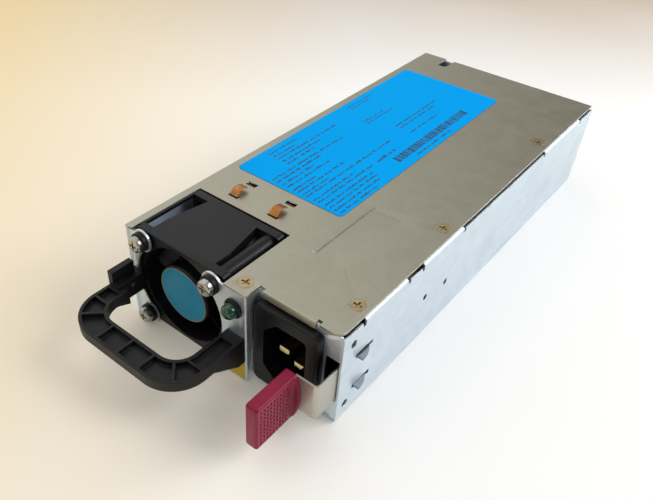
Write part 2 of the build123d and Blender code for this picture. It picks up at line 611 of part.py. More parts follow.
def top_cover():
    plate = block((-HALF, COVER_RIGHT), (0, CASE_LENGTH), (ROOF, CASE_HEIGHT))
    plate -= block((BAY_LEFT, BAY_RIGHT), (-1, BAY_END), (ROOF - 1, CASE_HEIGHT + 1))
    front_edge = RECESS_DEPTH - SHEET
    plate -= block((PANEL_RIGHT, HALF + 1), (-1, front_edge), (ROOF - 1, CASE_HEIGHT + 1))
    relief_x = (PANEL_RIGHT, PANEL_RIGHT + COVER_RELIEF_WIDTH)
    plate -= block(relief_x, (0, RECESS_DEPTH + SHEET), (ROOF - 1, CASE_HEIGHT + 1))
    slit_end = front_edge + COVER_SLIT_DEPTH
    plate -= block(COVER_SLIT_X, (0, slit_end), (ROOF - 1, CASE_HEIGHT + 1))
    corners = plate.edges().filter_by(Axis.Z)
    corners = corners.filter_by_position(Axis.X, COVER_RIGHT - 0.01, COVER_RIGHT + 0.01)
    corners = corners.filter_by_position(Axis.Y, FRONT, FRONT + CASE_LENGTH / 2)
    plate = fillet(corners, COVER_CORNER)
    notch_y = (CASE_LENGTH - COVER_NOTCH_DEPTH, CASE_LENGTH + 1)
    notch = block(COVER_NOTCH_X, notch_y, (ROOF - 1, CASE_HEIGHT + 1))
    notch_edge = notch.edges().filter_by(Axis.Z).sort_by(Axis.Y)[:2].sort_by(Axis.X)[-1]
    plate -= fillet(notch_edge, (COVER_NOTCH_X[1] - COVER_NOTCH_X[0]) / 2.2)
    lip_z = (ROOF - COVER_LIP_HEIGHT, CASE_HEIGHT - SHEET / 2)
    plate += block(COVER_LIP_X, (front_edge, RECESS_DEPTH), lip_z)
    top_edge = plate.edges().filter_by(Axis.X)
    top_edge = top_edge.filter_by_position(Axis.Z, CASE_HEIGHT - 0.01, CASE_HEIGHT + 0.01)
    lip_middle = sum(COVER_LIP_X) / 2
    top_edge = top_edge.filter_by_position(Axis.Y, FRONT + front_edge - 0.01, FRONT + front_edge + 0.01)
    top_edge = top_edge.filter_by_position(Axis.X, lip_middle - 5, lip_middle + 5)
    plate = fillet(top_edge, SHEET * 0.7)
    skirt_x = (COVER_SKIRT_GAP - INNER, COVER_SKIRT_GAP - INNER + SHEET)
    skirt_y = (BAY_END + COVER_SKIRT_GAP_BEHIND, CASE_LENGTH - REAR_FLANGE - SHEET)
    skirt = block(skirt_x, skirt_y, (ROOF - COVER_SKIRT_HEIGHT, ROOF))
    for start, end in LEFT_LIPS:
        wide = (start - RELIEF_WIDTH, end + RELIEF_WIDTH)
        skirt -= block((-HALF, -INNER + 2 * SHEET), wide, (ROOF - COVER_SKIRT_HEIGHT - 1, ROOF))
    plate += skirt
    plate += upright_pad(PRESSED_X, PRESSED_DEPTH, (ROOF - PRESSED_SINK, ROOF + PRESSED_SINK), 0.8)
    sunk_z = (CASE_HEIGHT - PRESSED_SINK, CASE_HEIGHT + 1)
    plate -= upright_pad(PRESSED_X, PRESSED_DEPTH, sunk_z, 0.4)
    for centre in CLIP_CENTRES.values():
        x_span = (centre - CLIP_SLOT_LENGTH / 2, centre + CLIP_SLOT_LENGTH / 2)
        for depth, extra in ((CLIP_FRONT, 0), (CLIP_BACK, CLIP_REAR_SLOT_EXTRA)):
            y_span = (depth - CLIP_SLOT_WIDTH / 2, depth + CLIP_SLOT_WIDTH / 2 + extra)
            plate -= block(x_span, y_span, (ROOF - 1, CASE_HEIGHT + 1))
    for x, depth in COVER_SCREWS:
        plate -= countersink(x, depth, COVER_SCREW_RADIUS, COVER_SCREW_HEAD, SCREW_CLEARANCE)
    return plate


def upright_pad(x_span, y_span, z_span, radius):
    face = RectangleRounded(x_span[1] - x_span[0], y_span[1] - y_span[0], radius)
    solid = extrude(face, amount=z_span[1] - z_span[0])
    return Pos(sum(x_span) / 2, FRONT + sum(y_span) / 2, z_span[0]) * solid


def countersink(x, depth, shank, head, clearance):
    # a cone that is head wide at the cover's top face, above a round hole
    cone = Cone(shank + clearance, head + clearance, SHEET)
    hole = rod(shank + clearance, "z", (ROOF - 1, CASE_HEIGHT), (x, depth))
    return Pos(x, FRONT + depth, ROOF + SHEET / 2) * cone + hole


def cover_screws():
    screws = []
    for x, depth in COVER_SCREWS:
        head = Pos(x, FRONT + depth, ROOF + SHEET / 2) * Cone(COVER_SCREW_RADIUS, COVER_SCREW_HEAD, SHEET)
        shank = rod(COVER_SCREW_RADIUS, "z", (CASE_HEIGHT - COVER_SCREW_LENGTH, ROOF), (x, depth))
        screw = head + shank - phillips(COVER_SCREW_HEAD, SHEET, "z", CASE_HEIGHT, (x, depth))
        screws.append(screw)
    return group(screws)


def leaf_clip(centre):
    # one strip: hooked base under the cover, up through the front slot, arch above with a free end
    base_z = ROOF - CLIP_THICK
    apex = CASE_HEIGHT + CLIP_RISE
    points = [
        (CLIP_BACK, CASE_HEIGHT - SHEET / 4),
        (CLIP_BACK, base_z),
        (CLIP_FRONT, base_z),
        (CLIP_FRONT, CASE_HEIGHT + SHEET / 4),
        (CLIP_FRONT + CLIP_RISE, apex),
        (CLIP_FREE_END - CLIP_RISE, apex),
        (CLIP_FREE_END, CASE_HEIGHT + CLIP_END_RISE),
    ]
    centre_line = FilletPolyline(*[(FRONT + y, z) for y, z in points], radius=CLIP_THICK * 1.6)
    strip = offset(centre_line, amount=CLIP_THICK / 2, side=Side.BOTH)
    face = make_face(strip)
    plane = Plane(origin=(centre - CLIP_WIDTH / 2, 0, 0), x_dir=(0, 1, 0), z_dir=(1, 0, 0))
    return extrude(plane * face, amount=CLIP_WIDTH)


# Labels

def cover_label():
    return upright_pad(LABEL_X, LABEL_DEPTH, (CASE_HEIGHT, CASE_HEIGHT + LABEL_THICK), LABEL_ROUND)


def front_sticker():
    x_span = (BAY_RIGHT + SHEET, PANEL_RIGHT - SHEET)
    return block(x_span, (-LABEL_THICK, 0), (PANEL_FOOT + SHEET, handle_foot_z() - SHEET))


def fan_hub_label():
    front = FAN_START + HUB_SETBACK
    return rod(HUB_RADIUS - HUB_LABEL_EDGE, "y", (front - LABEL_THICK, front), (FAN_X, FAN_Z))


# Handle

def handle_foot_z():
    return HANDLE_TOP - HANDLE_FOOT


def handle_tab_x():
    return HANDLE_LEFT + TAB_INSET, HANDLE_LEFT + TAB_INSET + SHEET


def handle_tab_z():
    return TAB_LEVEL - TAB_HEIGHT / 2, TAB_LEVEL + TAB_HEIGHT / 2


def handle_screw_place():
    return HANDLE_RIGHT - HANDLE_ARM / 2, handle_foot_z() + HANDLE_FOOT / 2


def loop_face(inset):
    # the U of the handle seen from above, open at the case
    left = HANDLE_LEFT + inset
    right = HANDLE_RIGHT - inset
    width = right - left
    reach = HANDLE_REACH - inset
    arm = HANDLE_ARM - 2 * inset
    bar = HANDLE_BAR - 2 * inset
    outer = RectangleRounded(width, 2 * reach, HANDLE_OUTER_ROUND - inset)
    inner = RectangleRounded(width - 2 * arm, 2 * (reach - bar), HANDLE_INNER_ROUND + inset)
    half = Pos(0, -HANDLE_REACH) * Rectangle(2 * CASE_WIDTH, 2 * HANDLE_REACH)
    return Pos((left + right) / 2, FRONT) * ((outer - inner) & half)


def haunch_cut(x_span, foot, start, end):
    # the wedge of air under one arm, from the thin bar down to the foot
    thin = HANDLE_TOP - HANDLE_THICK
    below = HANDLE_TOP - HANDLE_FOOT - 1
    side = Polyline(
        (-HANDLE_REACH - 1, below),
        (1, below),
        (1, HANDLE_TOP - foot),
        (-end, HANDLE_TOP - foot),
        (-start, thin),
        (-HANDLE_REACH - 1, thin),
        close=True,
    )
    plane = Plane(origin=(x_span[0], FRONT, 0), x_dir=(0, 1, 0), z_dir=(1, 0, 0))
    return extrude(plane * make_face(side), amount=x_span[1] - x_span[0])


def pull_handle():
    handle = extrude(Pos(0, 0, handle_foot_z()) * loop_face(0), amount=HANDLE_FOOT)
    middle = (HANDLE_LEFT + HANDLE_RIGHT) / 2
    handle -= haunch_cut((middle, HALF), HANDLE_FOOT, HANDLE_HAUNCH_START, HANDLE_HAUNCH_END)
    handle -= haunch_cut((-HALF - 1, middle), HANDLE_LEFT_FOOT, HANDLE_HAUNCH_START, HANDLE_LEFT_END)
    handle -= handle_pockets()
    foot = (HANDLE_TOP - HANDLE_LEFT_FOOT, HANDLE_TOP)
    lug_right = HANDLE_LEFT + LUG_WIDTH
    handle -= block((lug_right, HANDLE_LEFT + HANDLE_ARM + 1), (-HANDLE_LEFT_END, 1), (0, CASE_HEIGHT))
    handle += block((HANDLE_LEFT, lug_right), (-LUG_DEPTH, 0), (foot[0], HANDLE_TOP + LUG_RISE))
    wall_y = (-LUG_DEPTH, -LUG_WALL_BACK)
    handle += block((HANDLE_LEFT, HANDLE_LEFT + LUG_WALL), wall_y, (HANDLE_TOP, HANDLE_TOP + LUG_WALL_RISE))
    tab_x = handle_tab_x()
    slot_x = (tab_x[0] - TAB_SLOT_CLEARANCE, tab_x[1] + TAB_SLOT_CLEARANCE)
    slot_z = (handle_tab_z()[0] - TAB_SLOT_CLEARANCE, handle_tab_z()[1] + TAB_SLOT_CLEARANCE)
    handle -= block(slot_x, (-TAB_REACH - TAB_SLOT_CLEARANCE, 1), slot_z)
    pin_span = (HANDLE_LEFT - 1, lug_right + 1)
    handle -= rod(HANDLE_PIN_RADIUS, "x", pin_span, (-HANDLE_PIN_DEPTH, HANDLE_PIN_LEVEL))
    handle -= rod(HANDLE_SCREW_RADIUS, "y", (-HANDLE_SCREW_LENGTH, 1), handle_screw_place())
    return handle


def handle_pockets():
    # a shallow trough along the top, crossed by ribs
    trough = loop_face(POCKET_WALL)
    middle = (HANDLE_LEFT + HANDLE_RIGHT) / 2
    span = HANDLE_RIGHT - HANDLE_LEFT
    ends = Pos(middle, FRONT - POCKET_END / 2) * Rectangle(span, POCKET_END)
    lug_end = Pos(HANDLE_LEFT + HANDLE_ARM / 2, FRONT - LUG_DEPTH / 2)
    trough -= ends
    trough -= lug_end * Rectangle(HANDLE_ARM, LUG_DEPTH + 2 * POCKET_WALL)
    bar_y = FRONT - HANDLE_REACH + HANDLE_BAR / 2
    rib_count = int((span - 2 * HANDLE_OUTER_ROUND) / RIB_SPACING)
    for index in range(rib_count + 1):
        x = middle + (index - rib_count / 2) * RIB_SPACING
        trough -= Pos(x, bar_y) * Rectangle(RIB_THICK, HANDLE_BAR)
    for side, x_edge in ((1, HANDLE_LEFT), (-1, HANDLE_RIGHT)):
        corner = Pos(x_edge + side * HANDLE_OUTER_ROUND, FRONT - HANDLE_REACH + HANDLE_OUTER_ROUND)
        trough -= corner * Rot(0, 0, -side * 45) * Rectangle(RIB_THICK, 3 * HANDLE_OUTER_ROUND)
    for arm_x in (HANDLE_RIGHT - HANDLE_ARM / 2, HANDLE_LEFT + HANDLE_ARM / 2):
        trough -= Pos(arm_x, FRONT - HANDLE_REACH + HANDLE_OUTER_ROUND) * Rectangle(HANDLE_ARM, RIB_THICK)
    return extrude(Pos(0, 0, HANDLE_TOP - POCKET_DEPTH) * trough, amount=POCKET_DEPTH + 1)


def handle_pin():
    span = (HANDLE_LEFT, HANDLE_LEFT + LUG_WIDTH)
    return rod(HANDLE_PIN_RADIUS, "x", span, (-HANDLE_PIN_DEPTH, HANDLE_PIN_LEVEL))


def handle_screw():
    place = handle_screw_place()
    shank = rod(HANDLE_SCREW_RADIUS, "y", (-HANDLE_SCREW_LENGTH, SHEET), place)
    head = rod(HANDLE_SCREW_HEAD, "y", (SHEET, SHEET + HANDLE_SCREW_RADIUS), place)
    return shank + head


# Fan

def fan_side(left_reach):
    # the flat sides of the bore: widest in front, narrower towards the rear
    bend = FAN_START + FAN_DEPTH * FAN_ARM_STRAIGHT
    narrow = FAN_ARM - FAN_ARM_TAPER
    right = [(FAN_ARM, FAN_START), (FAN_ARM, bend), (narrow, FAN_END)]
    left = [(-x - left_reach, depth) for x, depth in reversed(right)]
    face = make_face(Polyline(*right, *left, close=True))
    return extrude(Pos(FAN_X, FRONT, FAN_Z - FAN_WIDTH / 2) * face, amount=FAN_WIDTH)


def fan_frame():
    # its upper left corner has no screw tube: a rail and an open pocket, through which the case wall shows
    open_corner = (FAN_X - FAN_PITCH / 2, FAN_Z + FAN_PITCH / 2)
    z_span = (FAN_Z - FAN_HEIGHT / 2, FAN_Z + FAN_HEIGHT / 2)
    x_span = (FAN_X - FAN_WIDTH / 2, FAN_X + FAN_WIDTH / 2)
    front = upright(x_span, z_span, (FAN_START, FAN_START + FAN_FLANGE), FAN_CORNER)
    back = upright(x_span, z_span, (FAN_END - FAN_FLANGE, FAN_END), FAN_CORNER)
    frame = front + back
    side = fan_side(0)
    frame += side + side.rotate(Axis((FAN_X, 0, FAN_Z), (0, 1, 0)), 90)
    frame += fan_side(FAN_POCKET_REACH) & block(x_span, (FAN_START, FAN_END), (FAN_Z + FAN_ARM, z_span[1]))
    frame += rod(FAN_BORE + HUB_WALL, "y", (FAN_START, FAN_END), (FAN_X, FAN_Z))
    for place in fan_corners():
        if place != open_corner:
            frame += rod(FAN_TUBE, "y", (FAN_START, FAN_END), place)
    frame &= block(x_span, (FAN_START, FAN_END), z_span)
    rail_z = (z_span[1] - FAN_RAIL_HEIGHT, z_span[1])
    rail_y = (FAN_START + FAN_FLANGE / 2, FAN_END - FAN_FLANGE / 2)
    frame += block((x_span[0], x_span[0] + FAN_RAIL), rail_y, rail_z)
    frame -= rod(FAN_BORE, "y", (FAN_START - 1, FAN_END + 1), (FAN_X, FAN_Z))
    for place in fan_corners():
        frame -= rod(FAN_SCREW_RADIUS + SCREW_CLEARANCE, "y", (FAN_START - 1, FAN_END + 1), place)
    strut_y = (FAN_END - STRUT_DEPTH, FAN_END)
    frame += rod(HUB_RADIUS, "y", strut_y, (FAN_X, FAN_Z))
    for turn in range(4):
        strut_z = (FAN_Z - STRUT_WIDTH / 2, FAN_Z + STRUT_WIDTH / 2)
        strut = block((FAN_X, FAN_X + FAN_BORE + HUB_WALL / 2), strut_y, strut_z)
        frame += strut.rotate(Axis((FAN_X, 0, FAN_Z), (0, 1, 0)), 45 + 90 * turn)
    tube_outer = bearing_outer() + TUBE_WALL
    frame += rod(tube_outer, "y", (bearing_start(), FAN_END), (FAN_X, FAN_Z))
    frame -= rod(bearing_outer(), "y", (bearing_start() - 1, FAN_END - STRUT_DEPTH / 2), (FAN_X, FAN_Z))
    return frame


def bearing_outer():
    return SHAFT_RADIUS + SHAFT_CLEARANCE + BEARING_WALL


def hub_front():
    return FAN_START + HUB_SETBACK


def bearing_start():
    return hub_front() + HUB_WALL + BLADE_GAP


def fan_rotor():
    start = hub_front()
    place = (FAN_X, FAN_Z)
    rotor = rod(HUB_RADIUS, "y", (start, start + HUB_DEPTH), place)
    tip = FAN_BORE - BLADE_GAP
    sweep_zone = ring(tip, HUB_RADIUS - HUB_WALL / 2, "y", (start + 0.4, start + HUB_DEPTH), place)
    for number in range(BLADE_COUNT):
        blade = Box(BLADE_CHORD * 1.4, BLADE_THICK, tip - HUB_RADIUS + 4)
        blade = Pos(0, 0, (tip + HUB_RADIUS) / 2) * Rot(0, 0, BLADE_PITCH) * blade
        blade = Rot(0, 360 / BLADE_COUNT * number, 0) * blade
        rotor += (Pos(FAN_X, FRONT + start + HUB_DEPTH / 2, FAN_Z) * blade) & sweep_zone
    rotor -= rod(HUB_RADIUS - HUB_WALL, "y", (start + HUB_WALL, start + HUB_DEPTH + 1), place)
    return rotor


def fan_magnet_ring():
    outer = HUB_RADIUS - HUB_WALL
    end = hub_front() + HUB_DEPTH
    return ring(outer, outer - MAGNET_THICK, "y", (end - MAGNET_LENGTH, end), (FAN_X, FAN_Z))


def fan_shaft():
    start = hub_front() + HUB_WALL
    return rod(SHAFT_RADIUS, "y", (start, start + SHAFT_LENGTH), (FAN_X, FAN_Z))


def fan_bearings():
    inner = SHAFT_RADIUS + SHAFT_CLEARANCE
    starts = (bearing_start(), hub_front() + HUB_WALL + SHAFT_LENGTH - BEARING_LENGTH - 1)
    centre = (FAN_X, FAN_Z)
    return group([ring(bearing_outer(), inner, "y", (at, at + BEARING_LENGTH), centre) for at in starts])


def stator_neck():
    return bearing_outer() + TUBE_WALL + STATOR_NECK_WALL


def stator_radius():
    return HUB_RADIUS - HUB_WALL - MAGNET_THICK - STATOR_AIR_GAP


def stator_span():
    end = hub_front() + HUB_DEPTH - 1
    return end - STATOR_LENGTH, end


def fan_stator_core():
    span = stator_span()
    core = ring(stator_neck(), bearing_outer() + TUBE_WALL, "y", span, (FAN_X, FAN_Z))
    for turn in range(4):
        tooth_x = (FAN_X + stator_neck() - 0.5, FAN_X + stator_radius())
        tooth = block(tooth_x, span, (FAN_Z - 0.9, FAN_Z + 0.9))
        core += tooth.rotate(Axis((FAN_X, 0, FAN_Z), (0, 1, 0)), 90 * turn)
    return core


def fan_stator_coils():
    start, end = stator_span()
    coils = []
    for turn in range(4):
        x_span = (FAN_X + stator_neck() + 0.1, FAN_X + stator_radius() - 0.4)
        coil = block(x_span, (start - 0.8, end + 0.8), (FAN_Z - 1.9, FAN_Z + 1.9))
        coil -= block(x_span, (start, end), (FAN_Z - 0.9, FAN_Z + 0.9))
        coils.append(coil.rotate(Axis((FAN_X, 0, FAN_Z), (0, 1, 0)), 90 * turn))
    return group(coils)


def fan_circuit_board():
    end = FAN_END - STRUT_DEPTH
    inner = bearing_outer() + TUBE_WALL
    outer = HUB_RADIUS - HUB_WALL - FAN_BOARD_EDGE
    return ring(outer, inner, "y", (end - FAN_BOARD_THICK, end), (FAN_X, FAN_Z))


def fan_screws():
    screws = []
    head_y = (-GROMMET_FRONT - FAN_HEAD_HEIGHT, -GROMMET_FRONT)
    for place in fan_corners():
        head = rod(FAN_HEAD_RADIUS, "y", head_y, place)
        head = fillet(head.edges().sort_by(Axis.Y)[0], FAN_HEAD_HEIGHT * 0.45)
        shank = rod(FAN_SCREW_RADIUS, "y", (-GROMMET_FRONT, FAN_SCREW_LENGTH), place)
        screws.append(head + shank - phillips(FAN_HEAD_RADIUS, FAN_RECESS_DEPTH, "y", head_y[0], place))
    return group(screws)


def fan_grommets():
    grommets = []
    for place in fan_corners():
        grommet = rod(GROMMET_RADIUS, "y", (-GROMMET_FRONT, 0), place)
        grommet += rod(GROMMET_NECK, "y", (0, SHEET), place)
        grommet += rod(GROMMET_RADIUS, "y", (SHEET, SHEET + GROMMET_BACK), place)
        hole = FAN_SCREW_RADIUS + SCREW_CLEARANCE
        grommets.append(grommet - rod(hole, "y", (-GROMMET_FRONT - 1, FAN_START + 1), place))
    return group(grommets)


# Lamp

def lamp_lens():
    end = -BEZEL_FRONT - BEZEL_BACK + LENS_LENGTH
    barrel = rod(LENS_RADIUS, "y", (-BEZEL_FRONT - SHEET, end), (LAMP_X, LAMP_Z))
    dome = Pos(LAMP_X, FRONT - BEZEL_FRONT - SHEET, LAMP_Z) * Sphere(LENS_RADIUS)
    return barrel + dome


def lamp_bezel():
    place = (LAMP_X, LAMP_Z)
    bezel = rod(BEZEL_RADIUS, "y", (-BEZEL_FRONT, 0), place)
    bezel = chamfer(bezel.edges().sort_by(Axis.Y)[0], BEZEL_WALL)
    bezel += rod(LENS_RADIUS + BEZEL_WALL, "y", (0, SHEET + BEZEL_BACK), place)
    return bezel - rod(LENS_RADIUS + BEZEL_CLEARANCE, "y", (-BEZEL_FRONT - 1, SHEET + BEZEL_BACK + 1), place)


def lamp_leads():
    start = -BEZEL_FRONT - BEZEL_BACK + LENS_LENGTH
    leads = []
    for side in (-1, 1):
        x = LAMP_X + side * LEAD_RADIUS * 1.5
        points = [
            (x, start, LAMP_Z),
            (x, BOARD_START + LEAD_BEND, LAMP_Z),
            (x, BOARD_START + LEAD_BEND, BOARD_TOP),
        ]
        leads.append(lead(points, LEAD_RADIUS))
    return group(leads)


# Inlet

def inlet_body_spans(extra):
    half_x = INLET_WIDTH / 2 + INLET_WALL + extra
    half_z = INLET_HEIGHT / 2 + INLET_WALL + extra
    return (INLET_X - half_x, INLET_X + half_x), (INLET_Z - half_z, INLET_Z + half_z)


def inlet_front():
    return RECESS_DEPTH - INLET_FLANGE_THICK


def inlet_floor():
    return inlet_front() + INLET_SOCKET_DEPTH


def inlet_housing():
    half_x = INLET_FLANGE_WIDTH / 2
    half_z = INLET_FLANGE_HEIGHT / 2
    flange_x = (INLET_X - half_x, INLET_X + half_x)
    flange_z = (INLET_Z - half_z, INLET_Z + half_z)
    flange = upright(flange_x, flange_z, (inlet_front(), RECESS_DEPTH), INLET_FLANGE_ROUND)
    rim = flange.faces().sort_by(Axis.Y)[0].edges()
    flange = fillet(rim, INLET_EDGE_ROUND)
    body_x, body_z = inlet_body_spans(0)
    flange += upright(body_x, body_z, (RECESS_DEPTH, inlet_floor() + INLET_BACK_WALL), INLET_CORNER)
    left = -INLET_WIDTH / 2
    right = INLET_WIDTH / 2
    top = INLET_HEIGHT / 2
    outline = Polyline(
        (left, top - INLET_CHAMFER),
        (left + INLET_CHAMFER, top),
        (right, top),
        (right, -top),
        (left + INLET_CHAMFER, -top),
        (left, INLET_CHAMFER - top),
        close=True,
    )
    face = make_face(outline)
    face = fillet(face.vertices(), INLET_CORNER * 0.8)
    socket = extrude(face, amount=INLET_SOCKET_DEPTH + 1)
    flange -= Pos(INLET_X, FRONT + inlet_floor(), INLET_Z) * Rot(90, 0, 0) * socket
    for x_span, z_span, tip in pin_layout():
        flange -= block(x_span, (inlet_floor() - 1, inlet_floor() + INLET_BACK_WALL + 1), z_span)
    return flange


def pin_layout():
    rows = []
    for shift, level, length in (
        (PIN_ROW_SHIFT, PIN_PITCH / 2, PIN_LINE_LENGTH),
        (PIN_ROW_SHIFT, -PIN_PITCH / 2, PIN_LINE_LENGTH),
        (PIN_ROW_SHIFT - PIN_EARTH_OFFSET, 0, PIN_EARTH_LENGTH),
    ):
        x = INLET_X + shift
        z = INLET_Z + level
        x_span = (x - PIN_WIDTH / 2, x + PIN_WIDTH / 2)
        z_span = (z - PIN_THICK / 2, z + PIN_THICK / 2)
        rows.append((x_span, z_span, inlet_floor() - length))
    return rows


def inlet_pins():
    pins = []
    for x_span, z_span, tip in pin_layout():
        blade = block(x_span, (tip, inlet_floor() + INLET_BACK_WALL + PIN_TAIL), z_span)
        nose = blade.faces().sort_by(Axis.Y)[0].edges()
        pins.append(chamfer(nose, PIN_TIP))
    return group(pins)


def tail_place(number):
    x_span, z_span, tip = pin_layout()[number]
    return sum(x_span) / 2, inlet_floor() + INLET_BACK_WALL + PIN_TAIL, sum(z_span) / 2


def mains_leads():
    leads = []
    for number, run in ((0, 3), (1, 1)):
        x, depth, level = tail_place(number)
        landing = BOARD_START + run * 2 * MAINS_LEAD_RADIUS
        points = [(x, depth, level), (x, landing, level), (x, landing, BOARD_TOP)]
        leads.append(lead(points, MAINS_LEAD_RADIUS))
    return group(leads)


def earth_lead():
    x, depth, level = tail_place(2)
    screw_x, screw_depth = earth_screw_place()
    bottom = SHEET + EARTH_LUG
    points = [
        (x, depth, level),
        (x, screw_depth + LEAD_BEND, level),
        (x, screw_depth + LEAD_BEND, bottom + LEAD_BEND + MAINS_LEAD_RADIUS),
        (screw_x, screw_depth, bottom + LEAD_BEND + MAINS_LEAD_RADIUS),
        (screw_x, screw_depth, bottom),
    ]
    return lead(points, MAINS_LEAD_RADIUS)


def earth_screw():
    x, depth = earth_screw_place()
    head = rod(FAN_HEAD_RADIUS, "z", (SHEET, SHEET + EARTH_LUG), (x, depth))
    return head + rod(COVER_SCREW_RADIUS, "z", (SHEET / 4, SHEET), (x, depth))


# Latch

def latch_side():
    # pivot end to the front bend, along the inside of the wall
    x_span = (LATCH_X - LATCH_SHEET, LATCH_X)
    bend_y = LATCH_BEND - LATCH_REACH
    half_arm = LATCH_ARM_HEIGHT / 2
    half_head = LATCH_HEAD_HEIGHT / 2
    side = block(x_span, (bend_y, LATCH_PIVOT_DEPTH - FOOT_GAP), (LATCH_Z - half_arm, LATCH_Z + half_arm))
    return side + block(x_span, (bend_y, LATCH_HEAD_START), (LATCH_Z - half_head, LATCH_Z + half_head))


def quarter_bend(centre, half_height, corner):
    # a quarter of a ring about a vertical line; corner names the quadrant as signs of X and Y
    span = (LATCH_Z - half_height, LATCH_Z + half_height)
    bend = ring(LATCH_BEND, LATCH_BEND - LATCH_SHEET, "z", span, centre)
    x_span = sorted((centre[0], centre[0] + corner[0] * 2 * LATCH_BEND))
    y_span = sorted((centre[1], centre[1] + corner[1] * 2 * LATCH_BEND))
    return bend & block(x_span, y_span, span)


def latch_spring_arm():
    arm = latch_side()
    half_head = LATCH_HEAD_HEIGHT / 2
    half_tang = LATCH_TANG_HEIGHT / 2
    front = -LATCH_REACH
    first_bend = (LATCH_X - LATCH_BEND, front + LATCH_BEND)
    arm += quarter_bend(first_bend, half_head, (1, -1))
    turn = LATCH_BEND - LATCH_SHEET
    second_bend = (LATCH_TANG_X + LATCH_BEND, front - turn)
    head_z = (LATCH_Z - half_head, LATCH_Z + half_head)
    arm += block((second_bend[0], first_bend[0]), (front, front + LATCH_SHEET), head_z)
    arm += quarter_bend(second_bend, half_tang, (-1, 1))
    tang_y = (second_bend[1] - LATCH_TANG_LENGTH, second_bend[1])
    tang_x = (LATCH_TANG_X, LATCH_TANG_X + LATCH_SHEET)
    arm += block(tang_x, tang_y, (LATCH_Z - half_tang, LATCH_Z + half_tang))
    for side in (-1, 1):
        arm += tooth(LATCH_Z + side * TOOTH_LEVEL)
    return arm


def tooth(level):
    # a flat ear: square face towards the front, curved ramp towards the rear
    tip_x = HALF + TOOTH_OUT
    start = FRONT + TOOTH_START
    end = FRONT + TOOTH_END
    root_x = LATCH_X - LATCH_SHEET
    ramp = ThreePointArc(
        (tip_x, start + TOOTH_TIP),
        (tip_x - TOOTH_OUT * 0.42, start + (TOOTH_END - TOOTH_START) * 0.62),
        (LATCH_X, end),
    )
    tip = (tip_x, start + TOOTH_TIP)
    edge = Polyline((LATCH_X, end), (root_x, end), (root_x, start), (tip_x, start), tip)
    face = make_face(Curve() + [ramp, edge])
    return extrude(Pos(0, 0, level - LATCH_SHEET / 2) * face, amount=LATCH_SHEET)


def latch_spring_foot():
    x_span = (INNER - LATCH_SHEET, INNER)
    half = LATCH_ARM_HEIGHT / 2
    foot_y = (LATCH_PIVOT_DEPTH + FOOT_GAP, LATCH_PIVOT_DEPTH + FOOT_LENGTH)
    foot = block(x_span, foot_y, (LATCH_Z - half, LATCH_Z + half))
    for place in RIVETS:
        foot -= rod(RIVET_RADIUS, "x", (x_span[0] - 1, x_span[1] + 1), place)
    return foot


def latch_rivets():
    rivets = []
    inside = INNER - LATCH_SHEET
    for place in RIVETS:
        rivet = rod(RIVET_RADIUS, "x", (inside, HALF), place)
        rivet += rod(RIVET_HEAD_RADIUS, "x", (inside - RIVET_HEAD_HEIGHT, inside), place)
        rivets.append(rivet - rod(RIVET_RADIUS * 0.6, "x", (INNER, HALF + 1), place))
    return group(rivets)


def latch_grip():
    z_span = (GRIP_Z - GRIP_HEIGHT / 2, GRIP_Z + GRIP_HEIGHT / 2)
    grip = block(GRIP_X, (-GRIP_FRONT, -GRIP_BACK), z_span)
    edges = grip.edges().filter_by(Axis.Y) + grip.faces().sort_by(Axis.Y)[0].edges()
    grip = fillet(edges, GRIP_ROUND)
    half = GRIP_HEIGHT / 2
    rim_radius = (half * half + GRIP_RIM_OUT * GRIP_RIM_OUT) / (2 * GRIP_RIM_OUT)
    rim_y = (-GRIP_BACK - GRIP_RIM_THICK, -GRIP_BACK)
    rim = rod(rim_radius, "y", rim_y, (GRIP_X[1] + GRIP_RIM_OUT - rim_radius, GRIP_Z))
    grip += rim & block((sum(GRIP_X) / 2, GRIP_X[1] + GRIP_RIM_OUT), rim_y, z_span)
    return grip - latch_spring_arm()


# Main board

def standoff_places():
    x = BOARD_HALF - STANDOFF_INSET
    depths = (BOARD_START + STANDOFF_INSET, BOARD_END - STANDOFF_INSET)
    return [(side * x, depth) for side in (-1, 1) for depth in depths]


def main_board():
    board = block((-BOARD_HALF, BOARD_HALF), (BOARD_START, BOARD_END), (BOARD_Z, BOARD_TOP))
    card_x = (CARD_X - CARD_WIDTH / 2, CARD_X + CARD_WIDTH / 2)
    board += block(card_x, (BOARD_END - 1, CASE_LENGTH + CARD_OUT), (BOARD_Z, BOARD_TOP))
    for x, depth in standoff_places():
        board -= rod(BOARD_SCREW_RADIUS + SCREW_CLEARANCE, "z", (0, CASE_HEIGHT), (x, depth))
    return board


def card_edge_contacts():
    pitch = CARD_WIDTH / CONTACT_COUNT
    end = CASE_LENGTH + CARD_OUT - CONTACT_EDGE
    contacts = []
    for number in range(CONTACT_COUNT):
        x = CARD_X - CARD_WIDTH / 2 + (number + 0.5) * pitch
        for z_span in ((BOARD_TOP, BOARD_TOP + CONTACT_THICK), (BOARD_Z - CONTACT_THICK, BOARD_Z)):
            x_span = (x - CONTACT_WIDTH / 2, x + CONTACT_WIDTH / 2)
            contacts.append(block(x_span, (end - CONTACT_LENGTH, end), z_span))
    return group(contacts)


def board_standoffs():
    standoffs = []
    for place in standoff_places():
        post = rod(STANDOFF_RADIUS, "z", (SHEET, BOARD_Z), place) + rod(STANDOFF_PIN, "z", (0, SHEET), place)
        bore_z = (BOARD_TOP - BOARD_SCREW_LENGTH - 1, CASE_HEIGHT)
        bore = rod(BOARD_SCREW_RADIUS + SCREW_CLEARANCE, "z", bore_z, place)
        standoffs.append(post - bore)
    return group(standoffs)


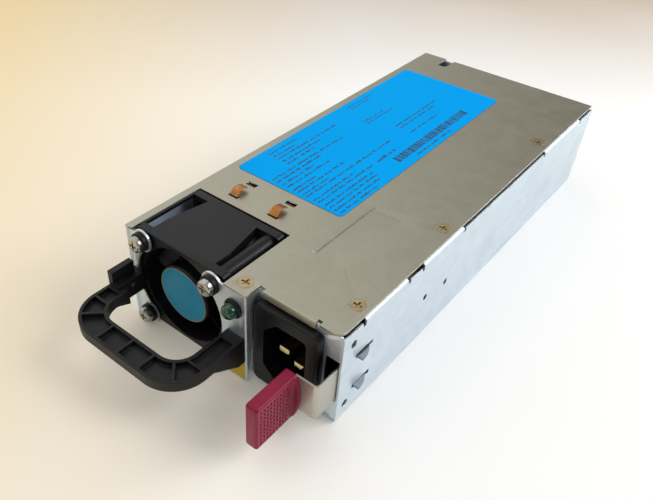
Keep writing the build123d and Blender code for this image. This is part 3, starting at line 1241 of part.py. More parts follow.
def board_screws():
    screws = []
    for place in standoff_places():
        head = rod(BOARD_SCREW_HEAD, "z", (BOARD_TOP, BOARD_TOP + BOARD_SCREW_HEAD_HEIGHT), place)
        shank = rod(BOARD_SCREW_RADIUS, "z", (BOARD_TOP - BOARD_SCREW_LENGTH, BOARD_TOP), place)
        recess = phillips(BOARD_SCREW_HEAD, 0.8, "z", BOARD_TOP + BOARD_SCREW_HEAD_HEIGHT, place)
        screws.append(head + shank - recess)
    return group(screws)


def insulator_sheet():
    edge = BOARD_HALF - STANDOFF_INSET - STANDOFF_RADIUS - SHEET
    return block((-edge, edge), (BOARD_START, BOARD_END), (SHEET, SHEET + INSULATOR_THICK))


# Parts on the board

def stand_on_board(x, depth, size):
    x_span = (x - size[0] / 2, x + size[0] / 2)
    return block(x_span, (depth, depth + size[1]), (BOARD_TOP, BOARD_TOP + size[2]))


def bulk_capacitor():
    centre = (LEFT_COLUMN, BOARD_TOP + BULK_RADIUS)
    start = BULK_START
    can = rod(BULK_RADIUS, "y", (start, start + BULK_LENGTH), centre)
    can = fillet(can.edges().filter_by(GeomType.CIRCLE), 1.2)
    groove_y = (start + BULK_LENGTH - 4, start + BULK_LENGTH - 2.6)
    groove = ring(BULK_RADIUS + 1, BULK_RADIUS - 0.8, "y", groove_y, centre)
    return can - groove


def transformer_core():
    width, length, height = TRANSFORMER_WIDTH, TRANSFORMER_LENGTH, TALL_HEIGHT
    core = stand_on_board(LEFT_COLUMN, TRANSFORMER_START, (width, length, height))
    reach = (width - 3 * TRANSFORMER_LEG) / 2
    for side in (-1, 1):
        x = LEFT_COLUMN + side * (TRANSFORMER_LEG / 2 + reach / 2)
        window_y = (TRANSFORMER_START + TRANSFORMER_LEG, TRANSFORMER_START + length - TRANSFORMER_LEG)
        core -= block((x - reach / 2, x + reach / 2), window_y, (0, CASE_HEIGHT))
    return core


def transformer_windings():
    width, length, height = TRANSFORMER_WIDTH, TRANSFORMER_LENGTH, TALL_HEIGHT
    half = TRANSFORMER_LEG / 2
    reach = (width - 3 * TRANSFORMER_LEG) / 2 - 0.4
    middle = TRANSFORMER_START + length / 2
    windings = []
    inner_y = length / 2 - TRANSFORMER_LEG
    gap = 0.6
    for y_span in ((middle - inner_y + gap, middle - gap), (middle + gap, middle + inner_y - gap)):
        coil_x = (LEFT_COLUMN - half - reach, LEFT_COLUMN + half + reach)
        coil = block(coil_x, y_span, (BOARD_TOP, BOARD_TOP + height + reach))
        coil -= block((LEFT_COLUMN - half, LEFT_COLUMN + half), y_span, (BOARD_TOP - 1, BOARD_TOP + height))
        windings.append(coil)
    return group(windings)


def toroid(centre, radius, height):
    # a flat ring core with two half windings; returns the core and the windings
    x, depth = centre
    base = BOARD_TOP + WIRE_RADIUS * 2
    core_outer = radius - 2 * WIRE_RADIUS
    core_inner = core_outer * 0.52
    core_span = (base, BOARD_TOP + height - 2 * WIRE_RADIUS)
    core = ring(core_outer, core_inner, "z", core_span, centre)
    shell = ring(radius, core_inner - 2 * WIRE_RADIUS, "z", (BOARD_TOP, BOARD_TOP + height), centre) - core
    slot = block((x - radius - 1, x + radius + 1), (depth - 1.2, depth + 1.2), (0, CASE_HEIGHT))
    shell -= slot
    turns = int(2 * pi * radius / (4 * WIRE_RADIUS))
    for turn in range(turns):
        groove_x = (x + radius - WIRE_RADIUS, x + radius + 1)
        groove = block(groove_x, (depth - 0.3, depth + 0.3), (0, CASE_HEIGHT))
        shell -= groove.rotate(Axis((x, FRONT + depth, 0), (0, 0, 1)), 360 / turns * (turn + 0.5))
    return core, shell


def filter_choke():
    return toroid((RIGHT_COLUMN, BULK_START + FILTER_RADIUS), FILTER_RADIUS, FILTER_HEIGHT)


def boost_choke():
    return toroid((RIGHT_COLUMN, BOOST_START + BOOST_RADIUS), BOOST_RADIUS, BOOST_HEIGHT)


def output_choke():
    place = (LEFT_COLUMN, OUTPUT_CHOKE_START + OUTPUT_CHOKE_RADIUS)
    return toroid(place, OUTPUT_CHOKE_RADIUS, OUTPUT_CHOKE_HEIGHT)


def mains_capacitors():
    first = MAINS_CAP_START
    second = first + MAINS_CAP_SIZE[1] + PART_GAP
    return group([stand_on_board(RIGHT_COLUMN, start, MAINS_CAP_SIZE) for start in (first, second)])


def safety_capacitors():
    discs = []
    for number in range(2):
        depth = BULK_START + FILTER_RADIUS + (number * 2 - 1) * (SAFETY_CAP_RADIUS + PART_GAP / 2)
        x = RIGHT_COLUMN - FILTER_RADIUS - PART_GAP - SAFETY_CAP_THICK / 2
        span = (x - SAFETY_CAP_THICK / 2, x + SAFETY_CAP_THICK / 2)
        discs.append(rod(SAFETY_CAP_RADIUS, "x", span, (depth, BOARD_TOP + SAFETY_CAP_RADIUS)))
    return group(discs)


def fuse():
    x = RIGHT_COLUMN - RELAY_SIZE[0] / 2 - PART_GAP / 2 + FUSE_RADIUS
    place = (x - PART_GAP, BOARD_TOP + FUSE_RADIUS)
    start = FUSE_START
    body = rod(FUSE_RADIUS * 0.92, "y", (start, start + FUSE_LENGTH), place)
    caps = rod(FUSE_RADIUS, "y", (start, start + FUSE_LENGTH * 0.25), place)
    caps += rod(FUSE_RADIUS, "y", (start + FUSE_LENGTH * 0.75, start + FUSE_LENGTH), place)
    return body + caps


def relay():
    x = RIGHT_COLUMN + RELAY_SIZE[0] / 2 + PART_GAP / 2
    box = stand_on_board(x, FUSE_START, RELAY_SIZE)
    return fillet(box.edges().filter_by(Axis.Z), 0.8)


def heatsink(x, start, length):
    z_span = (BOARD_TOP, BOARD_TOP + TALL_HEIGHT)
    sink = block((x - HEATSINK_THICK / 2, x + HEATSINK_THICK / 2), (start, start + length), z_span)
    spacing = (TALL_HEIGHT - FIN_THICK) / (FIN_COUNT - 1)
    for number in range(FIN_COUNT):
        low = BOARD_TOP + number * spacing
        fin_x = (x + HEATSINK_THICK / 2, x + HEATSINK_THICK / 2 + FIN_LENGTH)
        sink += block(fin_x, (start, start + length), (low, low + FIN_THICK))
    return sink


def transistors(x, start, length, count):
    # packages stand against the left face of a heatsink, each on three legs
    depth, width, height = TRANSISTOR_SIZE
    face = x - HEATSINK_THICK / 2
    pieces = []
    for number in range(count):
        y = start + length * (number + 0.5) / count
        low = BOARD_TOP + LEG_HEIGHT
        package = block((face - depth, face), (y - width / 2, y + width / 2), (low, low + height))
        for leg in (-1, 0, 1):
            leg_x = (face - depth / 2 - LEG_WIDTH / 2, face - depth / 2 + LEG_WIDTH / 2)
            leg_y = (y + leg * LEG_PITCH - LEG_WIDTH / 2, y + leg * LEG_PITCH + LEG_WIDTH / 2)
            package += block(leg_x, leg_y, (BOARD_TOP, low))
        pieces.append(package)
    return group(pieces)


def primary_heatsink():
    return heatsink(MIDDLE_COLUMN, BULK_START, PRIMARY_SINK_LENGTH)


def secondary_heatsink():
    return heatsink(MIDDLE_COLUMN, SECONDARY_SINK_START, SECONDARY_SINK_LENGTH)


def primary_transistors():
    start = BULK_START + BRIDGE_SIZE[1] + PART_GAP
    return transistors(MIDDLE_COLUMN, start, BULK_START + PRIMARY_SINK_LENGTH - start, 2)


def secondary_transistors():
    return transistors(MIDDLE_COLUMN, SECONDARY_SINK_START, SECONDARY_SINK_LENGTH, 3)


def bridge_rectifier():
    depth, width, height = BRIDGE_SIZE
    face = MIDDLE_COLUMN - HEATSINK_THICK / 2
    start = BULK_START
    low = BOARD_TOP + LEG_HEIGHT
    package = block((face - depth, face), (start, start + width), (low, low + height))
    for leg in range(4):
        y = start + width * (leg + 0.5) / 4
        leg_x = (face - depth / 2 - LEG_WIDTH / 2, face - depth / 2 + LEG_WIDTH / 2)
        package += block(leg_x, (y - LEG_WIDTH / 2, y + LEG_WIDTH / 2), (BOARD_TOP, low))
    return package


def output_capacitors():
    cans = []
    pitch = 2 * OUTPUT_CAP_RADIUS + PART_GAP / 2
    for number in range(OUTPUT_CAP_COUNT):
        x = LEFT_COLUMN - BULK_RADIUS + OUTPUT_CAP_RADIUS + number * pitch
        place = (x, OUTPUT_CAP_START + OUTPUT_CAP_RADIUS)
        can = rod(OUTPUT_CAP_RADIUS, "z", (BOARD_TOP, BOARD_TOP + OUTPUT_CAP_HEIGHT), place)
        cans.append(fillet(can.edges().sort_by(Axis.Z)[-1], 0.6))
    return group(cans)


def control_board():
    x = BOARD_HALF - CONTROL_BOARD_INSET
    start = CONTROL_BOARD_START
    x_span = (x - CONTROL_BOARD_THICK, x)
    card = block(x_span, (start, start + CONTROL_BOARD_LENGTH), (BOARD_TOP, BOARD_TOP + CONTROL_BOARD_HEIGHT))
    depth, width, height = CHIP_SIZE
    for number in range(2):
        y = start + CONTROL_BOARD_LENGTH * (number + 0.5) / 2
        low = BOARD_TOP + (CONTROL_BOARD_HEIGHT - height) / 2
        card += block((x_span[0] - depth, x_span[0]), (y - width / 2, y + width / 2), (low, low + height))
    return card


def fan_connector():
    return stand_on_board(LEFT_COLUMN, BOARD_START + SHEET, CONNECTOR_SIZE)


def fan_leads():
    leads = []
    top = BOARD_TOP + CONNECTOR_SIZE[2]
    for number in range(4):
        x = LEFT_COLUMN + (number - 1.5) * 2.2 * LEAD_RADIUS
        depth = BOARD_START + SHEET + CONNECTOR_SIZE[1] / 2
        points = [
            (x, FAN_END, top + LEAD_BEND + LEAD_RADIUS),
            (x, depth, top + LEAD_BEND + LEAD_RADIUS),
            (x, depth, top),
        ]
        leads.append(lead(points, LEAD_RADIUS))
    return group(leads)


PIECES = {
    "chassis_tray": chassis_tray,
    "rear_panel": rear_panel,
    "front_left_flange": front_left_flange,
    "front_panel": front_panel,
    "top_cover": top_cover,
    "cover_screws": cover_screws,
    "cover_label": cover_label,
    "front_sticker": front_sticker,
    "pull_handle": pull_handle,
    "handle_pin": handle_pin,
    "handle_screw": handle_screw,
    "fan_frame": fan_frame,
    "fan_rotor": fan_rotor,
    "fan_hub_label": fan_hub_label,
    "fan_magnet_ring": fan_magnet_ring,
    "fan_shaft": fan_shaft,
    "fan_bearings": fan_bearings,
    "fan_stator_core": fan_stator_core,
    "fan_stator_coils": fan_stator_coils,
    "fan_circuit_board": fan_circuit_board,
    "fan_screws": fan_screws,
    "fan_grommets": fan_grommets,
    "fan_leads": fan_leads,
    "fan_connector": fan_connector,
    "lamp_lens": lamp_lens,
    "lamp_bezel": lamp_bezel,
    "lamp_leads": lamp_leads,
    "inlet_housing": inlet_housing,
    "inlet_pins": inlet_pins,
    "mains_leads": mains_leads,
    "earth_lead": earth_lead,
    "earth_screw": earth_screw,
    "latch_spring_arm": latch_spring_arm,
    "latch_spring_foot": latch_spring_foot,
    "latch_rivets": latch_rivets,
    "latch_grip": latch_grip,
    "main_board": main_board,
    "card_edge_contacts": card_edge_contacts,
    "board_standoffs": board_standoffs,
    "board_screws": board_screws,
    "insulator_sheet": insulator_sheet,
    "bulk_capacitor": bulk_capacitor,
    "transformer_core": transformer_core,
    "transformer_windings": transformer_windings,
    "mains_capacitors": mains_capacitors,
    "safety_capacitors": safety_capacitors,
    "fuse": fuse,
    "relay": relay,
    "bridge_rectifier": bridge_rectifier,
    "primary_heatsink": primary_heatsink,
    "primary_transistors": primary_transistors,
    "secondary_heatsink": secondary_heatsink,
    "secondary_transistors": secondary_transistors,
    "output_capacitors": output_capacitors,
    "control_board": control_board,
}
shapes = {name: build() for name, build in PIECES.items()}
for side, centre in CLIP_CENTRES.items():
    shapes[f"leaf_clip_{side}"] = leaf_clip(centre)
chokes = [filter_choke(), boost_choke(), output_choke()]
shapes["choke_cores"] = group([core for core, windings in chokes])
shapes["choke_windings"] = group([windings for core, windings in chokes])
for name, shape in shapes.items():
    export_step(shape, f"parts/{name}.step")
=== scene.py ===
import json
import math
import bmesh
import bpy
import numpy as np
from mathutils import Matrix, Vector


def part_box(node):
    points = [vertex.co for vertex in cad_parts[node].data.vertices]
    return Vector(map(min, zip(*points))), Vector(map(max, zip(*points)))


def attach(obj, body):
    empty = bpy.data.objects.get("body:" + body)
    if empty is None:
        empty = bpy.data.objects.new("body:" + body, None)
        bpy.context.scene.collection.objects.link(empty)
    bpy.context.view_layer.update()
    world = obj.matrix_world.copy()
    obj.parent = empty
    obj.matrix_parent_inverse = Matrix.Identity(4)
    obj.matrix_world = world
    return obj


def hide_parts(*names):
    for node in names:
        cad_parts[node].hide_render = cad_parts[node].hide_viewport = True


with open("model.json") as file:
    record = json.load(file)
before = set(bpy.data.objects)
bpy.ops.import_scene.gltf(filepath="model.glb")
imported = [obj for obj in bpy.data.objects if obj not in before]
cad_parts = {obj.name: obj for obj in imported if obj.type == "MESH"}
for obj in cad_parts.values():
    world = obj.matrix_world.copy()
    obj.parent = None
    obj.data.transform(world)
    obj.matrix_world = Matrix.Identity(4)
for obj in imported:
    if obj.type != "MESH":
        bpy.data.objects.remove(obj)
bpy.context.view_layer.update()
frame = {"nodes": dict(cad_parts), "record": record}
nodes = frame["nodes"]
slotOf = {part["node"]: part["material_slot"] for part in frame["record"]["subparts"]}
bodyOf = {node: body for body, members in frame["record"]["behaviour"]["bodies"].items() for node in members}
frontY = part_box("chassis_tray")[0].y * 1000  # where depth 0 lies, in mm
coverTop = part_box("cover_label")[0].z * 1000
print("frame loaded:", len(nodes), "nodes")


# Small helpers: lengths are millimetres, as x, depth behind the front plate, and height

def toMetres(x, depth, height):
    parts = np.broadcast_arrays(x, np.asarray(depth) + frontY, height)
    return np.stack(parts, axis=-1) / 1000


def rgb(red, green, blue):
    # a colour as a picture shows it, 0 to 255, turned into the linear one that a socket takes
    part = np.array([red, green, blue]) / 255
    linear = np.where(part <= 0.04045, part / 12.92, ((part + 0.055) / 1.055) ** 2.4)
    return (*linear.tolist(), 1.0)


def smoothStep(value, start, end):
    # 0 before start, 1 after end, an S curve between
    part = np.clip((value - start) / (end - start), 0, 1)
    return part * part * (3 - 2 * part)


def gridFaces(rows, columns, wrapColumns, offset=0):
    # four-sided faces between neighbouring points of a rows x columns grid
    index = np.arange(rows * columns).reshape(rows, columns) + offset
    if wrapColumns:
        index = np.concatenate([index, index[:, :1]], axis=1)
    corners = [index[:-1, :-1], index[:-1, 1:], index[1:, 1:], index[1:, :-1]]
    return np.stack(corners, axis=-1).reshape(-1, 4)


def makePiece(name, points, faces, material, smoothAngle=35):
    mesh = bpy.data.meshes.new(name)
    mesh.from_pydata(points.reshape(-1, 3).tolist(), [], faces if isinstance(faces, list) else faces.tolist())
    form = bmesh.new()
    form.from_mesh(mesh)
    bmesh.ops.remove_doubles(form, verts=form.verts, dist=1e-7)
    bmesh.ops.recalc_face_normals(form, faces=form.faces)
    form.to_mesh(mesh)
    form.free()
    mesh.materials.append(material)
    return showPiece(name, mesh, smoothAngle)


def showPiece(name, mesh, smoothAngle):
    mesh.polygons.foreach_set("use_smooth", np.ones(len(mesh.polygons), bool))
    mesh.set_sharp_from_angle(angle=math.radians(smoothAngle))
    piece = bpy.data.objects.new(name, mesh)
    bpy.context.scene.collection.objects.link(piece)
    return piece


def standFor(piece, node):
    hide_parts(node)
    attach(piece, bodyOf[node])
    return piece


# Shader helpers

def plug(tree, socket, value):
    if isinstance(value, bpy.types.NodeSocket):
        tree.links.new(value, socket)
    else:
        socket.default_value = value


def addNode(tree, kind, inputs=None, **settings):
    node = tree.nodes.new("ShaderNode" + kind)
    for name, value in settings.items():
        setattr(node, name, value)
    for name, value in (inputs or {}).items():
        plug(tree, node.inputs[name], value)
    return node


def mathNode(tree, operation, first, second=0.0, third=0.0):
    node = addNode(tree, "Math", operation=operation)
    for place, value in enumerate((first, second, third)):
        plug(tree, node.inputs[place], value)
    return node.outputs[0]


def mixColour(tree, factor, first, second, blend="MIX"):
    node = addNode(tree, "Mix", data_type="RGBA", blend_type=blend)
    plug(tree, node.inputs[0], factor)
    plug(tree, node.inputs[6], first)
    plug(tree, node.inputs[7], second)
    return node.outputs[2]


def spread(tree, value, low, high, toLow=0.0, toHigh=1.0):
    inputs = {"Value": value, "From Min": low, "From Max": high, "To Min": toLow, "To Max": toHigh}
    return addNode(tree, "MapRange", inputs).outputs[0]


def stretched(tree, vector, scale, turn=(0, 0, 0)):
    return addNode(tree, "Mapping", {"Vector": vector, "Scale": scale, "Rotation": turn}).outputs[0]


def newGroup(name, inputs, outputs):
    group = bpy.data.node_groups.new(name, "ShaderNodeTree")
    for label, kind, value in inputs:
        socket = group.interface.new_socket(label, in_out="INPUT", socket_type="NodeSocket" + kind)
        if value is not None:
            socket.default_value = value
    for label, kind in outputs:
        group.interface.new_socket(label, in_out="OUTPUT", socket_type="NodeSocket" + kind)
    return group, group.nodes.new("NodeGroupInput").outputs, group.nodes.new("NodeGroupOutput").inputs


def useGroup(tree, group, inputs):
    node = tree.nodes.new("ShaderNodeGroup")
    node.node_tree = group
    for name, value in inputs.items():
        plug(tree, node.inputs[name], value)
    return node.outputs


def buildSurfaceGrain():
    # broad patches tint the colour, and a fine grain roughens it and gives a height
    grain, given, out = newGroup("surfaceGrain", [
        ("Vector", "Vector", None), ("Colour", "Color", (0.5, 0.5, 0.5, 1)), ("Patch Colour", "Color", (0.4, 0.4, 0.4, 1)),
        ("Patch Scale", "Float", 40.0), ("Patch Amount", "Float", 0.5), ("Grain Scale", "Float", 2000.0),
        ("Grain Tint", "Float", 0.1), ("Roughness", "Float", 0.5), ("Roughness Spread", "Float", 0.1),
    ], [("Colour", "Color"), ("Roughness", "Float"), ("Height", "Float")])
    patches = addNode(grain, "TexNoise", {"Vector": given["Vector"], "Scale": given["Patch Scale"], "Detail": 4.0})
    patch = spread(grain, patches.outputs["Fac"], 0.36, 0.64)
    fine = addNode(grain, "TexNoise", {"Vector": given["Vector"], "Scale": given["Grain Scale"], "Detail": 3.0})
    amount = mathNode(grain, "MULTIPLY", patch, given["Patch Amount"])
    tinted = mixColour(grain, amount, given["Colour"], given["Patch Colour"])
    speck = spread(grain, fine.outputs["Fac"], 0.3, 0.7)
    darker = mathNode(grain, "MULTIPLY", speck, given["Grain Tint"])
    plug(grain, out["Colour"], mixColour(grain, darker, tinted, (0.0, 0.0, 0.0, 1)))
    swing = mathNode(grain, "SUBTRACT", mathNode(grain, "ADD", patch, speck), 1.0)
    plug(grain, out["Roughness"], mathNode(grain, "MULTIPLY_ADD", swing, given["Roughness Spread"], given["Roughness"]))
    plug(grain, out["Height"], speck)
    return grain


def buildRollStreaks():
    # long fine streaks along the rolling direction, as a value around 0.5
    streaks, given, out = newGroup("rollStreaks", [
        ("Vector", "Vector", None), ("Across", "Float", 3000.0), ("Along", "Float", 60.0),
    ], [("Streak", "Float")])
    parts = addNode(streaks, "CombineXYZ", {"X": given["Across"], "Y": given["Along"], "Z": given["Across"]})
    scaled = addNode(streaks, "VectorMath", operation="MULTIPLY")
    plug(streaks, scaled.inputs[0], given["Vector"])
    plug(streaks, scaled.inputs[1], parts.outputs[0])
    noise = addNode(streaks, "TexNoise", {"Vector": scaled.outputs[0], "Scale": 1.0, "Detail": 2.0})
    plug(streaks, out["Streak"], noise.outputs["Fac"])
    return streaks


def buildZincFlowers():
    # the irregular flakes of hot-dip zinc: each cell has its own tone and gloss
    flowers, given, out = newGroup("zincFlowers", [
        ("Vector", "Vector", None), ("Scale", "Float", 90.0),
    ], [("Tone", "Float"), ("Seam", "Float")])
    wobble = addNode(flowers, "TexNoise", {"Vector": given["Vector"], "Scale": 160.0, "Detail": 3.0})
    bent = addNode(flowers, "VectorMath", operation="MULTIPLY_ADD")
    plug(flowers, bent.inputs[0], wobble.outputs["Color"])
    bent.inputs[1].default_value = (0.006, 0.006, 0.006)
    plug(flowers, bent.inputs[2], given["Vector"])
    cells = addNode(flowers, "TexVoronoi", {"Vector": bent.outputs[0], "Scale": given["Scale"]})
    tone = addNode(flowers, "SeparateColor", {"Color": cells.outputs["Color"]})
    plug(flowers, out["Tone"], tone.outputs[0])
    edges = addNode(flowers, "TexVoronoi", {"Vector": bent.outputs[0], "Scale": given["Scale"]}, feature="DISTANCE_TO_EDGE")
    plug(flowers, out["Seam"], spread(flowers, edges.outputs["Distance"], 0.0, 0.06, 1.0, 0.0))
    return flowers


def buildHandlingMarks():
    # thin scuffs left by handling: narrow bands of two stretched noises
    marks, given, out = newGroup("handlingMarks", [
        ("Vector", "Vector", None), ("Scale", "Float", 120.0), ("Width", "Float", 0.006),
    ], [("Mark", "Float")])
    found = []
    for turn, stretch in ((0.4, (1.0, 0.12, 1.0)), (-0.9, (0.15, 1.0, 1.0))):
        moved = stretched(marks, given["Vector"], stretch, (0, 0, turn))
        noise = addNode(marks, "TexNoise", {"Vector": moved, "Scale": given["Scale"], "Detail": 1.0})
        away = mathNode(marks, "ABSOLUTE", mathNode(marks, "SUBTRACT", noise.outputs["Fac"], 0.5))
        found.append(mathNode(marks, "LESS_THAN", away, given["Width"]))
    patch = addNode(marks, "TexNoise", {"Vector": given["Vector"], "Scale": 45.0, "Detail": 2.0})
    near = spread(marks, patch.outputs["Fac"], 0.5, 0.62)
    plug(marks, out["Mark"], mathNode(marks, "MULTIPLY", mathNode(marks, "MAXIMUM", *found), near))
    return marks


surfaceGrain = buildSurfaceGrain()
rollStreaks = buildRollStreaks()
zincFlowers = buildZincFlowers()
handlingMarks = buildHandlingMarks()


def grainOf(tree, coords, look):
    return useGroup(tree, surfaceGrain, {
        "Vector": coords, "Colour": look["colour"], "Patch Colour": look.get("patch", look["colour"]),
        "Patch Scale": look.get("patchScale", 60.0), "Patch Amount": look.get("patchAmount", 0.6),
        "Grain Scale": look.get("grainScale", 2500.0), "Grain Tint": look.get("grainTint", 0.08),
        "Roughness": look["roughness"], "Roughness Spread": look.get("spread", 0.08),
    })


def closeMaterial(material, colour, roughness, height, look, metallic=None):
    # the shader itself, with an edge softened by the Bevel node and a bump from the height
    tree = material.node_tree
    edge = addNode(tree, "Bevel", {"Radius": look.get("edge", 0.0002)}, samples=6)
    bump = addNode(tree, "Bump", {"Height": height, "Strength": look.get("bump", 0.3),
                                  "Distance": look.get("relief", 0.00005), "Normal": edge.outputs[0]})
    if metallic is None:
        metallic = look.get("metallic", 0.0)
    fixed = {"Metallic": metallic, "IOR": look.get("ior", 1.5), "Specular IOR Level": look.get("specular", 0.5),
             "Coat Weight": look.get("coat", 0.0), "Coat Roughness": look.get("coatRoughness", 0.1)}
    shader = addNode(tree, "BsdfPrincipled", {"Base Color": colour, "Roughness": roughness,
                                              "Normal": bump.outputs[0], **fixed})
    out = addNode(tree, "OutputMaterial")
    tree.links.new(shader.outputs[0], out.inputs["Surface"])
    return material


def openMaterial(name):
    material = bpy.data.materials.new(name)
    material.use_nodes = True
    tree = material.node_tree
    tree.nodes.clear()
    return material, tree, addNode(tree, "TexCoord").outputs["Object"]


def sheetSteel(name, look):
    # rolled sheet: patches, rolling streaks, zinc flowers and light scuffs, and painted sheen on the left wall's inner
    # face where the look asks for it
    material, tree, coords = openMaterial(name)
    base = grainOf(tree, coords, look)
    streak = useGroup(tree, rollStreaks, {"Vector": coords, "Across": 2200.0, "Along": 45.0})["Streak"]
    flower = useGroup(tree, zincFlowers, {"Vector": coords, "Scale": look.get("flowerScale", 110.0)})
    mark = useGroup(tree, handlingMarks, {"Vector": coords})["Mark"]
    toned = mixColour(tree, mathNode(tree, "MULTIPLY", flower["Tone"], look.get("flowerAmount", 0.3)),
                      base["Colour"], look.get("flowerColour", look["colour"]))
    lined = mixColour(tree, spread(tree, streak, 0.35, 0.65, 0.0, look.get("streakTint", 0.12)),
                      toned, look.get("streakColour", (0.02, 0.02, 0.02, 1)))
    scuffed = mixColour(tree, mathNode(tree, "MULTIPLY", mark, look.get("scuff", 0.25)), lined, (0.8, 0.8, 0.78, 1))
    rough = mathNode(tree, "MULTIPLY_ADD", flower["Tone"], look.get("flowerGloss", 0.08), base["Roughness"])
    rough = mathNode(tree, "MULTIPLY_ADD", streak, look.get("streakGloss", 0.1), rough)
    height = mathNode(tree, "ADD", mathNode(tree, "MULTIPLY", streak, look.get("streakGloss", 0.1) * 6), base["Height"])
    if "paintedPocketSheen" not in look:
        return closeMaterial(material, scuffed, rough, height, look)
    # the left wall's inner face, seen past the fan, gets painted sheen: a paler bluish colour and far less metal,
    # standing in for window light on it
    acrossWall = addNode(tree, "SeparateXYZ", {"Vector": coords}).outputs[0]
    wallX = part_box("chassis_tray")[0].x
    inside = mathNode(tree, "MULTIPLY", mathNode(tree, "GREATER_THAN", acrossWall, wallX + 0.0004),
                      mathNode(tree, "LESS_THAN", acrossWall, wallX + 0.0021))
    colour = mixColour(tree, inside, scuffed, look["paintedPocketSheen"])
    shine = mathNode(tree, "SUBTRACT", look["metallic"], mathNode(tree, "MULTIPLY", inside, 0.9))
    return closeMaterial(material, colour, rough, height, look, shine)


def bareMetal(name, look):
    # turned, stamped or plated small parts: grain and light scuffs
    material, tree, coords = openMaterial(name)
    base = grainOf(tree, coords, look)
    mark = useGroup(tree, handlingMarks, {"Vector": coords, "Scale": 300.0, "Width": 0.012})["Mark"]
    colour = mixColour(tree, mathNode(tree, "MULTIPLY", mark, 0.3), base["Colour"], (0.85, 0.84, 0.8, 1))
    return closeMaterial(material, colour, base["Roughness"], base["Height"], look)


def mouldedPlastic(name, look):
    # spark-eroded mould grain with dust and handling in broad patches
    material, tree, coords = openMaterial(name)
    base = grainOf(tree, coords, look)
    pits = addNode(tree, "TexVoronoi", {"Vector": coords, "Scale": look.get("pitScale", 3500.0)})
    height = mathNode(tree, "ADD", base["Height"], pits.outputs["Distance"])
    return closeMaterial(material, base["Colour"], base["Roughness"], height, look)


def springSteel(name, look):
    # bare spring strip; where its teeth stand outside the case wall they get painted shade, a darker bluish grey that
    # tones down their lit look
    material, tree, coords = openMaterial(name)
    base = grainOf(tree, coords, look)
    toothShadeMask = mathNode(tree, "GREATER_THAN", addNode(tree, "SeparateXYZ", {"Vector": coords}).outputs[0],
                       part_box("chassis_tray")[1].x - 0.0004)
    colour = mixColour(tree, toothShadeMask, base["Colour"], look["toothShadeColour"])
    return closeMaterial(material, colour, base["Roughness"], base["Height"], look)


def ringedLabel(name, look):
    # a round label: its own colour inside, a thin paler ring along its edge
    material, tree, coords = openMaterial(name)
    base = grainOf(tree, coords, look)
    low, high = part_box(look["node"])
    centred = addNode(tree, "VectorMath", operation="SUBTRACT")
    plug(tree, centred.inputs[0], coords)
    centred.inputs[1].default_value = (low + high) / 2
    flat = stretched(tree, centred.outputs[0], (1, 0, 1))
    away = addNode(tree, "VectorMath", {"Vector": flat}, operation="LENGTH").outputs["Value"]
    radius = (high.x - low.x) / 2
    ring = spread(tree, away, radius * 0.955, radius * 0.965)
    colour = mixColour(tree, ring, base["Colour"], look["ringColour"])
    return closeMaterial(material, colour, base["Roughness"], base["Height"], look)


def woundWire(name, look):
    # turns of enamelled wire side by side: bands across the chosen axis
    material, tree, coords = openMaterial(name)
    base = grainOf(tree, coords, look)
    bands = addNode(tree, "TexWave", {"Vector": coords, "Scale": look["turnScale"], "Distortion": 0.6},
                    bands_direction=look["turnAxis"])
    colour = mixColour(tree, spread(tree, bands.outputs["Fac"], 0.0, 0.5, 0.6, 0.0), base["Colour"], look["gap"])
    return closeMaterial(material, colour, base["Roughness"], bands.outputs["Fac"], look)


def circuitBoard(name, look):
    # solder mask over copper tracks: bricks of track, darker bare board between
    material, tree, coords = openMaterial(name)
    base = grainOf(tree, coords, look)
    tracks = addNode(tree, "TexBrick", {"Vector": coords, "Scale": 180.0, "Mortar Size": 0.03, "Mortar Smooth": 0.2,
                                        "Color1": look["colour"], "Color2": look["track"], "Mortar": look["patch"],
                                        "Brick Width": 1.1, "Row Height": 0.35})
    colour = mixColour(tree, 0.55, base["Colour"], tracks.outputs["Color"])
    height = mathNode(tree, "SUBTRACT", 1.0, tracks.outputs["Fac"])
    return closeMaterial(material, colour, base["Roughness"], height, look)


